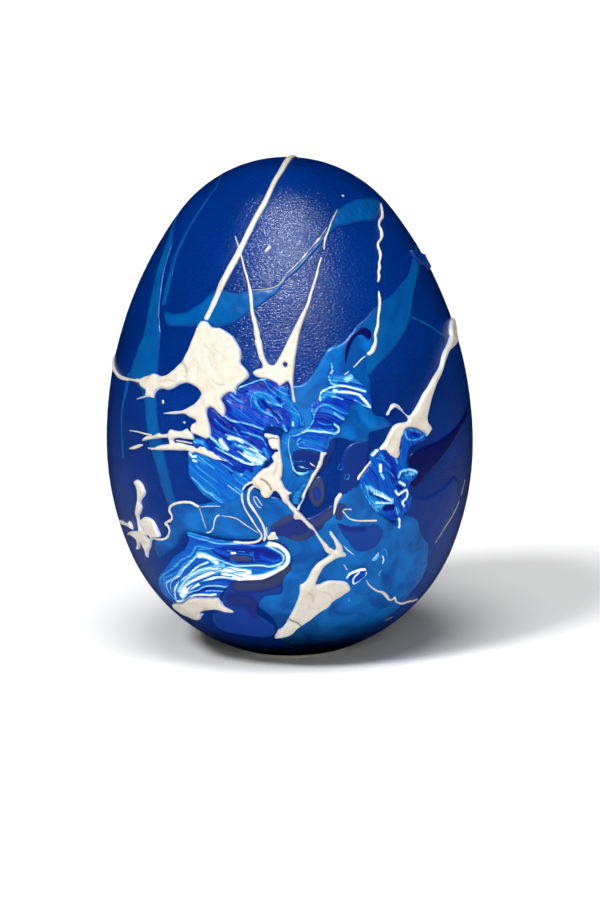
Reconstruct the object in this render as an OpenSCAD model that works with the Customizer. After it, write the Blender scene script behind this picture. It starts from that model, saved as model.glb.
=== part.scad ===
// Paint-poured wooden egg on a sawn foot.
// Frame: origin at the centre of the foot, +Z up the egg's axis, -Y towards its best side.
// Every paint film is drawn in elevation, as [x, z] in millimetres seen square-on, then cut out
// of a thin shell that follows the egg.

/* [Egg] */
// Greatest width of the painted egg
egg_w = 44.4; // [43.6:0.2:45.2]
// Radius of the crown arc
crown_r = 16.0; // [15.5:0.1:16.5]
// Height of the crown arc's centre above the widest level
crown_rise = 18.6; // [18.2:0.1:19]
// Radius of the base arc
base_r = 21.2; // [21:0.1:21.4]
// Depth of the base arc's centre below the widest level
base_drop = 5.0; // [4.8:0.1:5.4]
// Slice sawn off the blunt end to make the foot
foot_cut = 0.8; // [0.6:0.1:1]

/* [Coats] */
// Thickness of the white primer over the wood
primer_t = 0.15; // [0.1:0.01:0.3]
// Thickness of the stippled blue ground coat over the primer
ground_t = 0.15; // [0.1:0.01:0.3]
// Height above the foot where both coats stop
hem_z = 0.3; // [0.2:0.05:0.6]

/* [Paint films] */
// Thickness of a thin wash
veil_t = 0.06; // [0.04:0.01:0.1]
// Thickness of a levelled pool
pool_t = 0.12; // [0.08:0.01:0.2]
// Thickness of a fine thread
thread_t = 0.25; // [0.15:0.05:0.4]
// Thickness of a poured white
pour_t = 0.45; // [0.3:0.05:0.6]
// Thickness of paint laid on with a knife
impasto_t = 0.8; // [0.5:0.1:1.2]

/* [Hidden] */
$fn = 144;

half_w = egg_w / 2;
// Flank arcs that run tangent into the crown and base arcs and are upright at the widest level
crown_flank = (half_w * half_w + crown_rise * crown_rise - crown_r * crown_r) / (2 * (half_w - crown_r));
base_flank = (half_w * half_w + base_drop * base_drop - base_r * base_r) / (2 * (half_w - base_r));
crown_lean = crown_rise / (crown_flank - crown_r);
base_lean = base_drop / (base_flank - base_r);
widest_z = base_drop + base_r - foot_cut;
egg_h = widest_z + crown_rise + crown_r;
reach = 2 * egg_h;

cream = "ivory";
cerulean = "steelblue";
cobalt = "royalblue";
navy = "midnightblue";

// ---- The egg's form ----

module level_band(from, to) translate([0, from]) square([reach, to - from]);

// Half outline of the egg, grown outwards by t
module egg_outline(t) {
    crown_join = crown_rise + crown_lean * (crown_r + t);
    base_join = -base_drop - base_lean * (base_r + t);
    translate([0, widest_z]) {
        intersection() {
            translate([0, crown_rise]) circle(crown_r + t);
            level_band(crown_join, reach);
        }
        intersection() {
            translate([half_w - crown_flank, 0]) circle(crown_flank + t);
            level_band(0, crown_join);
        }
        intersection() {
            translate([half_w - base_flank, 0]) circle(base_flank + t);
            level_band(base_join, 0);
        }
        intersection() {
            translate([0, -base_drop]) circle(base_r + t);
            level_band(-widest_z, base_join);
        }
    }
}

module egg(t) rotate_extrude() egg_outline(t);

module coat(outer, inner)
    difference() {
        egg(outer);
        egg(inner);
        translate([-reach / 2, -reach / 2, hem_z - reach]) cube(reach);
    }

// Radius of the painted egg at a height above the foot
function radius_at(z) =
    let (h = z - widest_z)
    h > crown_rise + crown_lean * crown_r ? sqrt(max(0, crown_r * crown_r - pow(h - crown_rise, 2)))
    : h >= 0 ? half_w - crown_flank + sqrt(crown_flank * crown_flank - h * h)
    : h >= -base_drop - base_lean * base_r ? half_w - base_flank + sqrt(base_flank * base_flank - h * h)
    : sqrt(base_r * base_r - pow(h + base_drop, 2));

// ---- Drawing on the egg ----

// Front-elevation points seen from a direction turned about the axis
function turned(turn, points) = [for (p = points)
    let (r = radius_at(p[1])) [r * sin(asin(p[0] / r) - turn), p[1]]];

// Points given as [longitude, height], with 0 degrees at the front, seen from a turned direction
function facing(turn, points) = [for (p = points) [radius_at(p[1]) * sin(p[0] - turn), p[1]]];

// Sideways direction of a line at its point i
function across(line, i) =
    let (a = line[max(i - 1, 0)], b = line[min(i + 1, len(line) - 1)],
         d = [b[0] - a[0], b[1] - a[1]])
    [-d[1], d[0]] / norm(d);

// Outline of a line whose points are [x, z] with the line's width at each one
function strip(line, widths) = concat(
    [for (i = [0 : len(line) - 1]) line[i] + across(line, i) * widths[i] / 2],
    [for (i = [len(line) - 1 : -1 : 0]) line[i] - across(line, i) * widths[i] / 2]);
function even_strip(line, width) = strip(line, [for (p = line) width]);

// A dried film as thick as t wherever its outline, seen from a turned direction, falls on the egg
module film(t, turn = 0)
    intersection() {
        rotate([90, 0, turn]) linear_extrude(egg_w) children();
        difference() {
            egg(t);
            egg(0);
        }
    }

// A film on the crown, whose outline is drawn in plan
module crown_film(t)
    intersection() {
        translate([0, 0, widest_z]) linear_extrude(egg_h) children();
        difference() {
            egg(t);
            egg(0);
        }
    }

// ---- Egg and coats ----

module wooden_core() color("burlywood") egg(-primer_t - ground_t);

module primer_coat() color("white") coat(-ground_t, -primer_t - ground_t);

module ground_coat() color("mediumblue") coat(0, -ground_t);

// ---- Outlines that more than one film needs ----

module streak_top_outline()
    polygon(strip([[-1.1, 58.2], [-2.4, 56], [-5.1, 51.8], [-7.9, 47.2], [-9.8, 42.9]],
                  [0.7, 0.75, 0.9, 0.9, 0.95]));

module pour_left_outline()
    polygon([[-9.5, 42.7], [-8, 42.2], [-6.4, 41.4], [-5.5, 39.9], [-5.5, 38.6], [-4.6, 36.9],
             [-5.9, 35.9], [-6.2, 35], [-7.8, 34.3], [-7.5, 32.4], [-9, 33.2], [-9.5, 33],
             [-9.4, 31.4], [-9.2, 30.5], [-9.7, 29.5], [-11.2, 30], [-11.5, 31], [-10.9, 31.5],
             [-12.5, 32.2], [-14.8, 31.9], [-12.1, 32.8], [-10.9, 33.6], [-10.3, 34.7],
             [-11.3, 35.7], [-12.9, 35.4], [-15.3, 34.7], [-15.9, 33.7], [-17.9, 33.1],
             [-16.8, 34.1], [-17.8, 34.9], [-17.5, 35.5], [-15.8, 36.4], [-14.3, 36.4],
             [-12.9, 37.6], [-11.8, 39.2], [-10.9, 41.4], [-10.5, 42.4]]);

module splash_left_outline() {
    polygon([[-16.9, 28.9], [-15.4, 29.6], [-14.3, 29.7], [-14, 30.2], [-12, 30.5], [-11.3, 29.9],
             [-11.2, 29.4], [-13.6, 29.3], [-13.4, 28.8], [-11.1, 28.5], [-10.4, 28.7],
             [-8.9, 28.1], [-7.7, 27.4], [-5, 27.1], [-8.3, 27], [-10.1, 27.5], [-11.9, 27.9],
             [-14.3, 27.7], [-16.8, 27.5], [-15.4, 28.1], [-14.1, 28.6], [-14.1, 29.2],
             [-15.8, 28.8], [-17.4, 28.3]]);
    polygon([[-19, 26.9], [-18.7, 27.3], [-17.5, 27.9], [-17.6, 27.5], [-18.2, 27.2]]);
}

module pour_centre_outline() {
    polygon([[-6, 52.4], [-5.2, 50], [-4.6, 48], [-4, 45.9], [-3.5, 43], [-2.9, 40], [-2.2, 38.3],
             [-1.6, 38.4], [-0.5, 40], [1.2, 42.6], [2.3, 45.2], [3.4, 48.1], [3.6, 48],
             [2.6, 45], [1.5, 42], [1, 40], [0.8, 38.2], [0.6, 36], [0.8, 33.9], [0.4, 33.9],
             [0.1, 36], [-1.1, 35.9], [-2.2, 36.5], [-4.1, 37.2], [-3, 38], [-3.5, 39.4],
             [-4, 42.4], [-4.4, 46], [-5.1, 49.5]]);
    polygon(even_strip([[4, 49.7], [4.5, 51], [5.1, 52.9], [6.1, 54.9]], 0.3));
}

module spine_outline()
    polygon([[-2.9, 30.4], [-1.3, 30.1], [-1.1, 28.5], [-0.9, 26], [-1.1, 25.1], [-0.6, 24],
             [-0.2, 23], [0.4, 21.7], [1.3, 20.7], [2.7, 19], [3.8, 17.4], [4.9, 16.2],
             [4.2, 15.6], [3.6, 16.7], [2.6, 18.6], [1.1, 20], [0.2, 20.4], [-0.6, 22],
             [-1.5, 23.3], [-1.8, 23.6], [-2.6, 22.8], [-3.4, 23.1], [-4.3, 24.2], [-4.4, 25],
             [-3.5, 26], [-2.3, 26.8], [-2.1, 27.8], [-2.4, 28.7], [-2.6, 29.8]]);

module swan_outline()
    polygon(strip([[-4.4, 24.4], [-5, 24.1], [-5.4, 23.2], [-5.3, 22], [-4.7, 21], [-4, 19.8],
                   [-3.5, 18.7], [-3.7, 17.7], [-4.6, 17.2], [-6, 17.1]],
                  [0.3, 0.5, 0.75, 0.85, 0.8, 0.85, 0.7, 0.4, 0.25, 0.2]));

module diagonal_outline()
    polygon(strip([[4, 28], [3.5, 26.8], [2.9, 25.5], [2, 23.7], [1.4, 22.5], [0.85, 21.4]],
                  [0.8, 0.65, 0.6, 0.55, 0.4, 0.25]));

module pour_base_outline()
    difference() {
        polygon([[0.9, 11.8], [1.9, 13], [2.6, 14.1], [4.2, 15.4], [4.9, 16.1], [4.9, 17.2],
                 [4.4, 18.6], [5.1, 17.7], [5.9, 16.6], [6.3, 15.3], [4.9, 14.8], [3.7, 14],
                 [3.1, 12.9], [2.8, 11.9], [4.2, 12.2], [6.3, 11.8], [6.8, 10.8], [5.5, 9.8],
                 [4.1, 8.5], [1.9, 6.8], [0, 5], [-0.6, 4.6], [-2.2, 4.2], [-1.8, 5.4],
                 [-0.6, 7.2], [0.2, 8.9], [0.8, 10.8]]);
        spine_outline();
    }

module fan_outline()
    polygon([[-12.2, 17.4], [-12.8, 15.7], [-13.9, 14.6], [-15.4, 12.2], [-15.9, 10.6],
             [-15.4, 9], [-14, 8.1], [-12.5, 8.9], [-11.2, 9.6], [-9, 9.9], [-8.2, 11.2],
             [-7, 12.3], [-4.4, 12.4], [-2.5, 13], [-0.8, 14], [-0.1, 15.2], [-0.5, 16],
             [-1.8, 17.1], [-3, 17.3], [-6.5, 16.9], [-9.5, 17.2]]);

module eye_outline()
    polygon([[-10.8, 16.9], [-7.5, 16.7], [-3.2, 16.8], [-1.5, 16.1], [-0.9, 15.3], [-1.6, 14.5],
             [-3.2, 14.1], [-6.5, 14.3], [-8.5, 15.1]]);

module impasto_left_outline()
    difference() {
        polygon([[-7.6, 34.4], [-6.1, 35.1], [-4.2, 36.2], [-2, 36.4], [-0.6, 36], [0.2, 34],
                 [1.3, 33], [1.7, 31.2], [0.2, 30.9], [-1.1, 31], [-2.1, 31.3], [-3, 30.5],
                 [-2.7, 29.7], [-2.5, 28.6], [-2.2, 27.6], [-3.6, 26.1], [-5.6, 24.3],
                 [-7, 22.8], [-9.6, 22.3], [-11.2, 23.6], [-11.9, 24.6], [-11.9, 27.7],
                 [-10.9, 29.2], [-9.3, 30.2], [-9.4, 31.6], [-9.5, 33]]);
        pour_left_outline();
        splash_left_outline();
        pour_centre_outline();
        spine_outline();
        swan_outline();
    }

module impasto_centre_outline()
    difference() {
        polygon([[3.5, 34.1], [4.8, 35.4], [4.6, 36.8], [5, 38.3], [5.8, 37.3], [7.2, 37],
                 [8.5, 36.1], [9.3, 34.8], [9.6, 33.2], [9.2, 32.6], [8, 33.3], [6.7, 33.4],
                 [6.4, 32], [5.8, 31], [5.6, 30.2], [4.6, 29.9], [4.2, 28.4], [2, 28.6],
                 [0.9, 29.1], [1.1, 30], [2.6, 31], [2.8, 32.4], [3, 33.4]]);
        diagonal_outline();
    }

module pour_right_outline()
    polygon([[19.4, 39.4], [19, 38.5], [17.9, 36.2], [15.9, 33.6], [14.3, 31.4], [13.3, 32.2],
             [12.4, 33], [11.6, 32.3], [11.4, 31.7], [11.8, 31.9], [12.4, 32.5], [13.2, 31.9],
             [13.9, 30.9], [12.9, 30.6], [12, 30.1], [11.3, 29], [10.2, 27.7], [11.1, 27.6],
             [11.9, 26.7], [12.4, 26.4], [12.8, 26.9], [12.9, 28.4], [13.4, 29.6],
             [14.2, 29.9], [15.3, 29.4], [16.1, 28.5], [16.7, 29.2], [16.3, 30.2],
             [16.6, 32.2], [17.7, 34.4], [19, 37.2], [19.7, 38.2]]);

module impasto_right_outline()
    difference() {
        polygon([[9.5, 27.2], [10.1, 27.8], [11.1, 27.6], [12.9, 28.4], [13.3, 29.8],
                 [15.8, 28.9], [15.9, 28.1], [14.2, 27.5], [13.7, 26], [14.9, 24.3],
                 [13.9, 23.3], [13.7, 21], [13, 19.2], [12.6, 17.9], [12.1, 18.9],
                 [10.4, 19.8], [9.3, 21], [8.6, 22.9], [8, 24.4], [9.2, 25.9]]);
        pour_right_outline();
    }

module thread_right_outline() {
    polygon(strip([[11.4, 54.7], [11.4, 53.3], [11.1, 52.4], [11.3, 51.4], [10.9, 50.6],
                   [11, 48.9], [10.9, 46.7]],
                  [0.3, 0.35, 0.4, 0.55, 0.5, 0.4, 0.25]));
    polygon(strip([[10.8, 45.8], [10.8, 43.6], [10.5, 41.8], [10.3, 40.4], [9.9, 39.3], [9.1, 38.5]],
                  [0.25, 0.4, 0.3, 0.5, 0.5, 0.4]));
}

// Everything that lies over the washes and pools
module upper_outlines() {
    streak_top_outline();
    pour_left_outline();
    splash_left_outline();
    pour_centre_outline();
    spine_outline();
    swan_outline();
    diagonal_outline();
    pour_base_outline();
    fan_outline();
    impasto_left_outline();
    impasto_centre_outline();
    pour_right_outline();
    impasto_right_outline();
    thread_right_outline();
}

// ---- Washes and pools ----

module veil_left() color(cerulean) {
    film(veil_t, -45)
        polygon(turned(-45, strip([[-12.4, 53.6], [-14.3, 50], [-15, 48], [-15.5, 46],
                                   [-15.9, 43], [-16, 41], [-16.5, 39], [-16.9, 37.2]],
                                  [0.4, 0.75, 0.8, 1.05, 1.4, 1.9, 2.4, 2.8])));
    film(veil_t, -45)
        polygon(turned(-45, strip([[-16.3, 32.8], [-16.3, 31.2], [-16.1, 29.9]], [1.6, 1.6, 1.5])));
    film(veil_t, -45)
        polygon(turned(-45, strip([[-15.6, 27.1], [-15, 25], [-14.5, 22.8], [-14.2, 21.9]],
                                  [1.4, 1.2, 1.2, 1.1])));
}

module veil_ribbon() color(cerulean) film(veil_t)
    difference() {
        polygon([[-14.5, 43.4], [-12.8, 43.5], [-11, 44.4], [-9.4, 45.7], [-8.5, 46.5],
                 [-6, 46.2], [-3.2, 46.6], [-1.1, 47.1], [0, 48.3], [2.1, 50.2], [4.8, 52.7],
                 [5.8, 54.3], [6.8, 55.4], [9, 55.7], [11.3, 55.2], [10.9, 53.4], [8, 53.3],
                 [6.2, 53.1], [4.9, 52.2], [2.3, 49.7], [0, 47.7], [-1.3, 46.2], [-3.5, 44.7],
                 [-5.6, 43.3], [-7.5, 42.5], [-11, 42.2], [-14.2, 42]]);
        upper_outlines();
    }

module veil_leaf_right() color(cerulean) film(veil_t, 30)
    difference() {
        polygon(turned(30, [[15.6, 49.3], [14.8, 47.7], [13.5, 46.1], [11.5, 44.7], [9.8, 43.5],
                            [9.4, 42.4], [9.3, 41.2], [10.3, 40.2], [9.9, 39.2], [9.1, 38.4],
                            [9.2, 37.2], [9.4, 36.6], [11.6, 38.3], [13.3, 40.1],
                            [14.6, 42.3], [15.2, 45.1], [15.9, 47.2]]));
        polygon(turned(30, strip([[10.8, 45.9], [10.8, 43.6], [10.5, 41.8], [10.3, 40.4],
                                  [9.9, 39.3], [9.0, 38.4]],
                                 [0.3, 0.45, 0.35, 0.55, 0.6, 0.6])));
    }

module pool_centre() color("dodgerblue") film(pool_t)
    difference() {
        polygon([[9.1, 42.2], [7.6, 41.7], [6, 40.3], [4.6, 39.8], [3.5, 38], [2.1, 36.4],
                 [0.6, 35.8], [0.4, 32], [-1, 30], [-1.1, 26], [-0.2, 23.2], [1, 22],
                 [2, 24.4], [3.9, 28.2], [6, 28.8], [9.1, 28.8], [9.3, 29.8], [11.4, 30.3],
                 [9.9, 32], [9.1, 36.8], [8.8, 38.4], [9.5, 39.3], [9.1, 41]]);
        upper_outlines();
        navy_hook_outline();
    }

module lower_outlines() {
    upper_outlines();
    squiggle_left_outline();
    loop_left_outline();
    check_right_outline();
    thread_base_right_outline();
    impasto_base_right_outline();
    violet_outline();
}

module pool_lower() color("dodgerblue") film(pool_t)
    difference() {
        polygon([[-14.6, 16.8], [-14.2, 20.3], [-13.6, 21.4], [-12.2, 21.7], [-10.8, 21.5],
                 [-8, 22.4], [-6, 23.1], [-4.6, 24], [-2.6, 22.7], [-1.2, 22.4], [0.2, 20.9],
                 [2, 19.4], [4.4, 19.6], [6.2, 22.6], [8.2, 23.9], [9.2, 21], [10.3, 19.7],
                 [12.4, 17.8], [14.2, 19.2], [16, 20], [17, 16.6], [16, 13.4], [16.4, 11],
                 [14, 8.2], [9, 5.4], [3, 5], [-1.4, 4.8], [-2.8, 7.2], [-4.2, 8.8],
                 [-3.4, 10.3], [-1.2, 10.8], [-0.6, 13], [-1.9, 17.3], [-7, 17.5],
                 [-12.4, 17.6]]);
        lower_outlines();
    }

module violet_outline() {
    difference() {
        polygon([[-2.7, 19.3], [-0.2, 20.9], [1.9, 20.1], [4.9, 21.5], [4.7, 20.1], [3.3, 18.6],
                 [2.6, 17.8], [1.2, 17.3], [-1.4, 17.8]]);
        upper_outlines();
    }
    difference() {
        polygon([[-7.8, 12.2], [-0.8, 13.8], [0.3, 14.1], [-0.8, 12.8], [-1.2, 10.8],
                 [-3.4, 10.2], [-4.2, 8.8], [-6.2, 8.6], [-8.2, 9.9]]);
        upper_outlines();
    }
    difference() {
        polygon([[5.2, 19.6], [6.8, 19.2], [10.2, 18.9], [10.9, 17.4], [9.8, 15.9], [7.6, 15.6],
                 [6.2, 17], [5.4, 18.3]]);
        upper_outlines();
    }
}

module violet_stains() color(navy) film(pool_t) violet_outline();

// ---- Blue lines ----

module navy_hook_outline()
    difference() {
        polygon(strip([[6.7, 38.4], [6.8, 39.6], [7.2, 40.6], [8.2, 41.4], [9.2, 41.1]],
                      [0.3, 0.5, 0.7, 0.9, 0.9]));
        upper_outlines();
    }

module navy_hook() color(navy) film(pool_t) navy_hook_outline();

module navy_streak_right() color(navy) film(pool_t, 55)
    polygon(turned(55, [[20.6, 29], [19, 27.8], [17.1, 27.6], [15.9, 27.2], [15, 26.7],
                        [14.3, 26], [15, 25.3], [17, 25.5], [18.3, 26.2], [20.8, 28]]));

module blue_thread_right() color(cobalt) film(veil_t, 50)
    polygon(turned(50, even_strip([[14.8, 42.2], [16.3, 41.2], [17.9, 39.9], [18.7, 39.2]], 0.3)));

// ---- Poured whites ----

// The streak runs over the crown and a little way down the far side
module white_streak_top() color(cream) {
    film(thread_t)
        difference() {
            streak_top_outline();
            pour_left_outline();
        }
    crown_film(thread_t)
        polygon(strip([[-1.15, -7.5], [-0.4, -5.5], [0.2, -2.8], [0.7, 0], [1.7, 6], [2.8, 11.5]],
                      [0.7, 0.75, 0.8, 0.8, 0.7, 0.3]));
}

module white_pour_left() color(cream) film(pour_t) pour_left_outline();

module white_thread_left() color(cream) film(thread_t, -85)
    polygon(facing(-85, strip([[-58.5, 35.15], [-64, 35.05], [-72, 34.9], [-82, 35.3], [-95, 36],
                               [-108, 35.6], [-118, 34.4]],
                              [0.5, 0.35, 0.3, 0.3, 0.35, 0.3, 0.2])));

module white_splash_left() color(cream) film(pour_t) splash_left_outline();

module white_pour_centre() color(cream) film(thread_t) pour_centre_outline();

module white_thread_right() color(cream) film(thread_t) thread_right_outline();

module white_pour_right() color(cream) {
    film(pour_t) pour_right_outline();
    film(thread_t, 80)
        polygon(facing(80, [[73, 38.3], [75, 39.6], [79, 40.2], [86, 40.4], [92, 39.8],
                            [86, 39.2], [80, 38.2], [76, 37.6]]));
}

module white_spine() color(cream) film(pour_t) spine_outline();

module white_swan_line() color(cream) film(pour_t)
    difference() {
        swan_outline();
        spine_outline();
        fan_outline();
    }

module white_diagonal() color(cream) film(pour_t)
    difference() {
        diagonal_outline();
        spine_outline();
    }

module white_pour_base() color(cream) film(pour_t) pour_base_outline();

module white_pour_foot() color(cream) film(pour_t)
    difference() {
        polygon([[-14, 7.7], [-12.6, 8.7], [-12.1, 9.2], [-10, 9.6], [-8.9, 9.7], [-8.1, 8.7],
                 [-7, 7.9], [-9.1, 8], [-10.6, 7.5], [-11.2, 7], [-10.9, 6.5], [-11.5, 5.9],
                 [-12.8, 6]]);
        fan_outline();
    }

squiggle_left = [[-18.5, 23.1], [-18, 23.4], [-17.5, 22.9], [-17.2, 22.1], [-17.6, 21.2],
             [-17.7, 20.2], [-18, 19], [-17.7, 17.6], [-17.2, 19], [-16.4, 18.8], [-15.5, 17.1],
             [-16.3, 16.5], [-16.7, 15.4], [-17.2, 14], [-17.6, 15.1], [-18.4, 14.3],
             [-18.4, 15.6], [-19.4, 15.9], [-19.3, 16.3], [-18.2, 16.8], [-18.3, 18.6],
             [-18.3, 19.4], [-18.1, 21], [-18.1, 22.3]];
splat_left = [[-19.6, 17.2], [-19.3, 17.7], [-18.9, 16.8], [-19.5, 16.9]];

module squiggle_left_outline() {
    polygon(squiggle_left);
    polygon(splat_left);
}

module white_squiggle_left() color(cream) {
    film(pour_t, -50) polygon(turned(-50, squiggle_left));
    film(pour_t, -50) polygon(turned(-50, splat_left));
}

module loop_left_outline() {
    polygon(even_strip([[-15.9, 16.4], [-15.2, 16.5], [-14.6, 17.1], [-14.4, 17.9],
                        [-14.8, 18.6], [-14.2, 19.3], [-14.3, 20.5], [-13.8, 21.2],
                        [-12.4, 21.7], [-10.9, 21.3]], 0.32));
    polygon(even_strip([[-10.3, 18.2], [-9.5, 18.4], [-9.1, 19.3], [-8.9, 20.2], [-8.2, 20.5]], 0.26));
}

module white_loop_left() color(cream) film(thread_t)
    difference() {
        loop_left_outline();
        squiggle_left_outline();
    }

module check_right_outline() {
    polygon(strip([[5.9, 23], [5.5, 22.2], [5.2, 21.3], [5, 20.4]], [0.4, 0.55, 0.4, 0.2]));
    polygon(even_strip([[7.1, 20.9], [6, 20.9], [6.4, 20.3], [7, 19.8], [8.4, 19.5], [10.1, 19.4]], 0.28));
    polygon(strip([[9.7, 26.4], [8.6, 25.3], [7.9, 24.5]], [0.3, 0.35, 0.4]));
}

module white_check_right() color(cream) film(thread_t)
    difference() {
        check_right_outline();
        upper_outlines();
    }

module thread_base_right_outline()
    polygon(strip([[9, 11], [10, 10], [11, 9.3], [11.5, 8.6], [12.1, 8.7], [12.4, 7.9],
                   [13.1, 7.4], [14.2, 7.3]],
                  [0.3, 0.3, 0.4, 0.4, 0.35, 0.35, 0.3, 0.2]));

module white_thread_base_right() color(cream) film(thread_t) thread_base_right_outline();

module speck(x, z, wide, tall) translate([x, z]) scale([1, tall / wide]) circle(wide / 2, $fn = 12);

module white_specks() color(cream) {
    film(veil_t) speck(6.9, 56.3, 0.45, 0.35);
    film(veil_t) speck(-14.85, 33.3, 0.3, 0.6);
    film(veil_t) polygon(even_strip([[-2.5, 50.7], [-1.8, 51.4]], 0.35));
    film(veil_t) polygon(even_strip([[-6.7, 4.7], [-6.1, 4.9], [-5.5, 4.8]], 0.2));
    film(veil_t, 20) polygon(turned(20, even_strip([[9.4, 4.6], [10.4, 4.9], [12, 5.3]], 0.15)));
    film(veil_t, 50) polygon(turned(50, [[17, 15], [17.4, 14.8], [17.2, 15.8]]));
}

// ---- Knife work ----

module marbled_fan() color("skyblue") film(pour_t)
    difference() {
        fan_outline();
        eye_outline();
    }

module marbled_eye() color(navy) film(pool_t) eye_outline();

module impasto_left() color(cobalt) film(impasto_t) impasto_left_outline();

module impasto_centre() color(cobalt) film(impasto_t) impasto_centre_outline();

module impasto_right() color(cobalt) film(impasto_t) impasto_right_outline();

module impasto_base_right_outline() {
    polygon([[6.5, 12.6], [7.5, 13.3], [8.6, 13.3], [8.6, 12.3], [7.1, 11.5], [6.9, 11.9]]);
    polygon([[9.3, 14.3], [10.2, 15.2], [10.8, 14.4], [10.6, 13.6], [10.2, 14.5]]);
}

module impasto_base_right() color("lightskyblue") film(pour_t)
    difference() {
        impasto_base_right_outline();
        pour_base_outline();
    }

module paint_chip_right() color(navy) film(pour_t, 70)
    polygon(facing(70, [[69, 49.2], [84, 47.9], [83, 46.4], [77, 47.2], [70, 48]]));

// ---- Far side ----

module veil_back() color(cerulean) film(veil_t, 150)
    polygon(facing(150, [[112, 49], [122, 47], [138, 42], [150, 39], [166, 38.5], [180, 40],
                         [172, 36.5], [158, 34.5], [142, 36], [128, 41], [116, 46]]));

module pool_back() color("dodgerblue") film(pool_t, 190)
    polygon(facing(190, [[148, 12], [156, 18], [170, 21], [184, 19.5], [198, 21], [214, 18],
                         [226, 12], [216, 8], [196, 6.5], [172, 7], [158, 8.5]]));

module white_pour_back() color(cream) film(pour_t, 200)
    polygon(facing(200, [[186, 45], [188.5, 40], [194, 37.5], [205, 36.5], [222, 38], [208, 34.5],
                         [202, 31.5], [203, 27], [199, 30], [192, 32], [181, 31], [174, 28.5],
                         [182, 33.5], [185, 37], [184.5, 41]]));

module white_thread_back() color(cream) film(thread_t, 145)
    polygon(facing(145, strip([[118, 24], [126, 26.5], [136, 27.5], [144, 25.5], [150, 22.5],
                               [158, 21.8], [166, 23.5]],
                              [0.3, 0.4, 0.5, 0.45, 0.35, 0.35, 0.2])));

module impasto_back() color(cobalt) film(impasto_t, 230)
    polygon(facing(230, [[212, 26], [219, 30], [230, 32], [240, 30.5], [247, 26], [243, 22],
                         [233, 21], [222, 22.5]]));

wooden_core();
primer_coat();
ground_coat();
veil_left();
veil_ribbon();
veil_leaf_right();
pool_centre();
pool_lower();
violet_stains();
navy_hook();
navy_streak_right();
blue_thread_right();
white_streak_top();
white_pour_left();
white_thread_left();
white_splash_left();
white_pour_centre();
white_thread_right();
white_pour_right();
white_spine();
white_swan_line();
white_diagonal();
white_pour_base();
white_pour_foot();
white_squiggle_left();
white_loop_left();
white_check_right();
white_thread_base_right();
white_specks();
marbled_fan();
marbled_eye();
impasto_left();
impasto_centre();
impasto_right();
impasto_base_right();
paint_chip_right();
veil_back();
pool_back();
white_pour_back();
white_thread_back();
impasto_back();
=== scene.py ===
"""A turned wooden egg, coated in stippled ultramarine and covered in poured, dripped and knifed acrylic.

The scene is in metres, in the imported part's frame: foot at the origin, +Z up, -Y towards the best side.
Outlines are drawn in elevation, as (x, z) in millimetres seen square-on, or by longitude round the
sides and the back, and are then laid on the egg.
"""
import math
import bmesh
import bpy
import numpy as np
from mathutils import Matrix, Vector
from mathutils.geometry import delaunay_2d_cdt


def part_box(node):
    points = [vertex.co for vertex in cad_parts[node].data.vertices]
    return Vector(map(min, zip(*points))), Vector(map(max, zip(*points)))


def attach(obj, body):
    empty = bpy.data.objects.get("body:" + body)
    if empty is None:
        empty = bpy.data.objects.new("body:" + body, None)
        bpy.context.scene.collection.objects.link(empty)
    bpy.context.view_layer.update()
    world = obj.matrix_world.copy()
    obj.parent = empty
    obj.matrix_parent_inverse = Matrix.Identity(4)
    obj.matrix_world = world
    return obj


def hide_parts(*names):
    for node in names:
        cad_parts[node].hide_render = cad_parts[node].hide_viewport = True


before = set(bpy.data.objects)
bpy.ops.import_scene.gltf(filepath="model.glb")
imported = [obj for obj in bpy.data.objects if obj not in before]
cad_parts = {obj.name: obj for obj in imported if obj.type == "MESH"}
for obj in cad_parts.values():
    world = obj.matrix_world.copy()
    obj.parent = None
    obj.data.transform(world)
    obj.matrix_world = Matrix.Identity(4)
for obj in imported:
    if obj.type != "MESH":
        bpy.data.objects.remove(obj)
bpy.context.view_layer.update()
MM = 0.001

# ---- Wooden blank ----
# A solid lime-wood egg turned on a lathe, with a slice sawn off the blunt end so that it stands.
# It shows only as a small bare disc under the egg, where the paint stops.


def linear(hex_code):
    """An sRGB colour such as "1f4e9a" as linear RGBA."""
    channels = [int(hex_code[i:i + 2], 16) / 255 for i in (0, 2, 4)]
    return [c / 12.92 if c <= 0.04045 else ((c + 0.055) / 1.055) ** 2.4 for c in channels] + [1.0]


def add(tree, kind, inputs, **settings):
    """A new shader node. An input is set to a value, or linked where the value is a node's output."""
    node = tree.nodes.new("ShaderNode" + kind)
    for key, value in settings.items():
        setattr(node, key, value)
    for key, value in inputs.items():
        if isinstance(value, bpy.types.NodeSocket):
            tree.links.new(value, node.inputs[key])
        else:
            node.inputs[key].default_value = value
    return node


def new_material(name):
    """An empty material with its output node, ready for a finish."""
    material = bpy.data.materials.new(name)
    material.use_nodes = True
    material.node_tree.nodes.clear()
    return material, material.node_tree, material.node_tree.nodes.new("ShaderNodeOutputMaterial")


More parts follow.
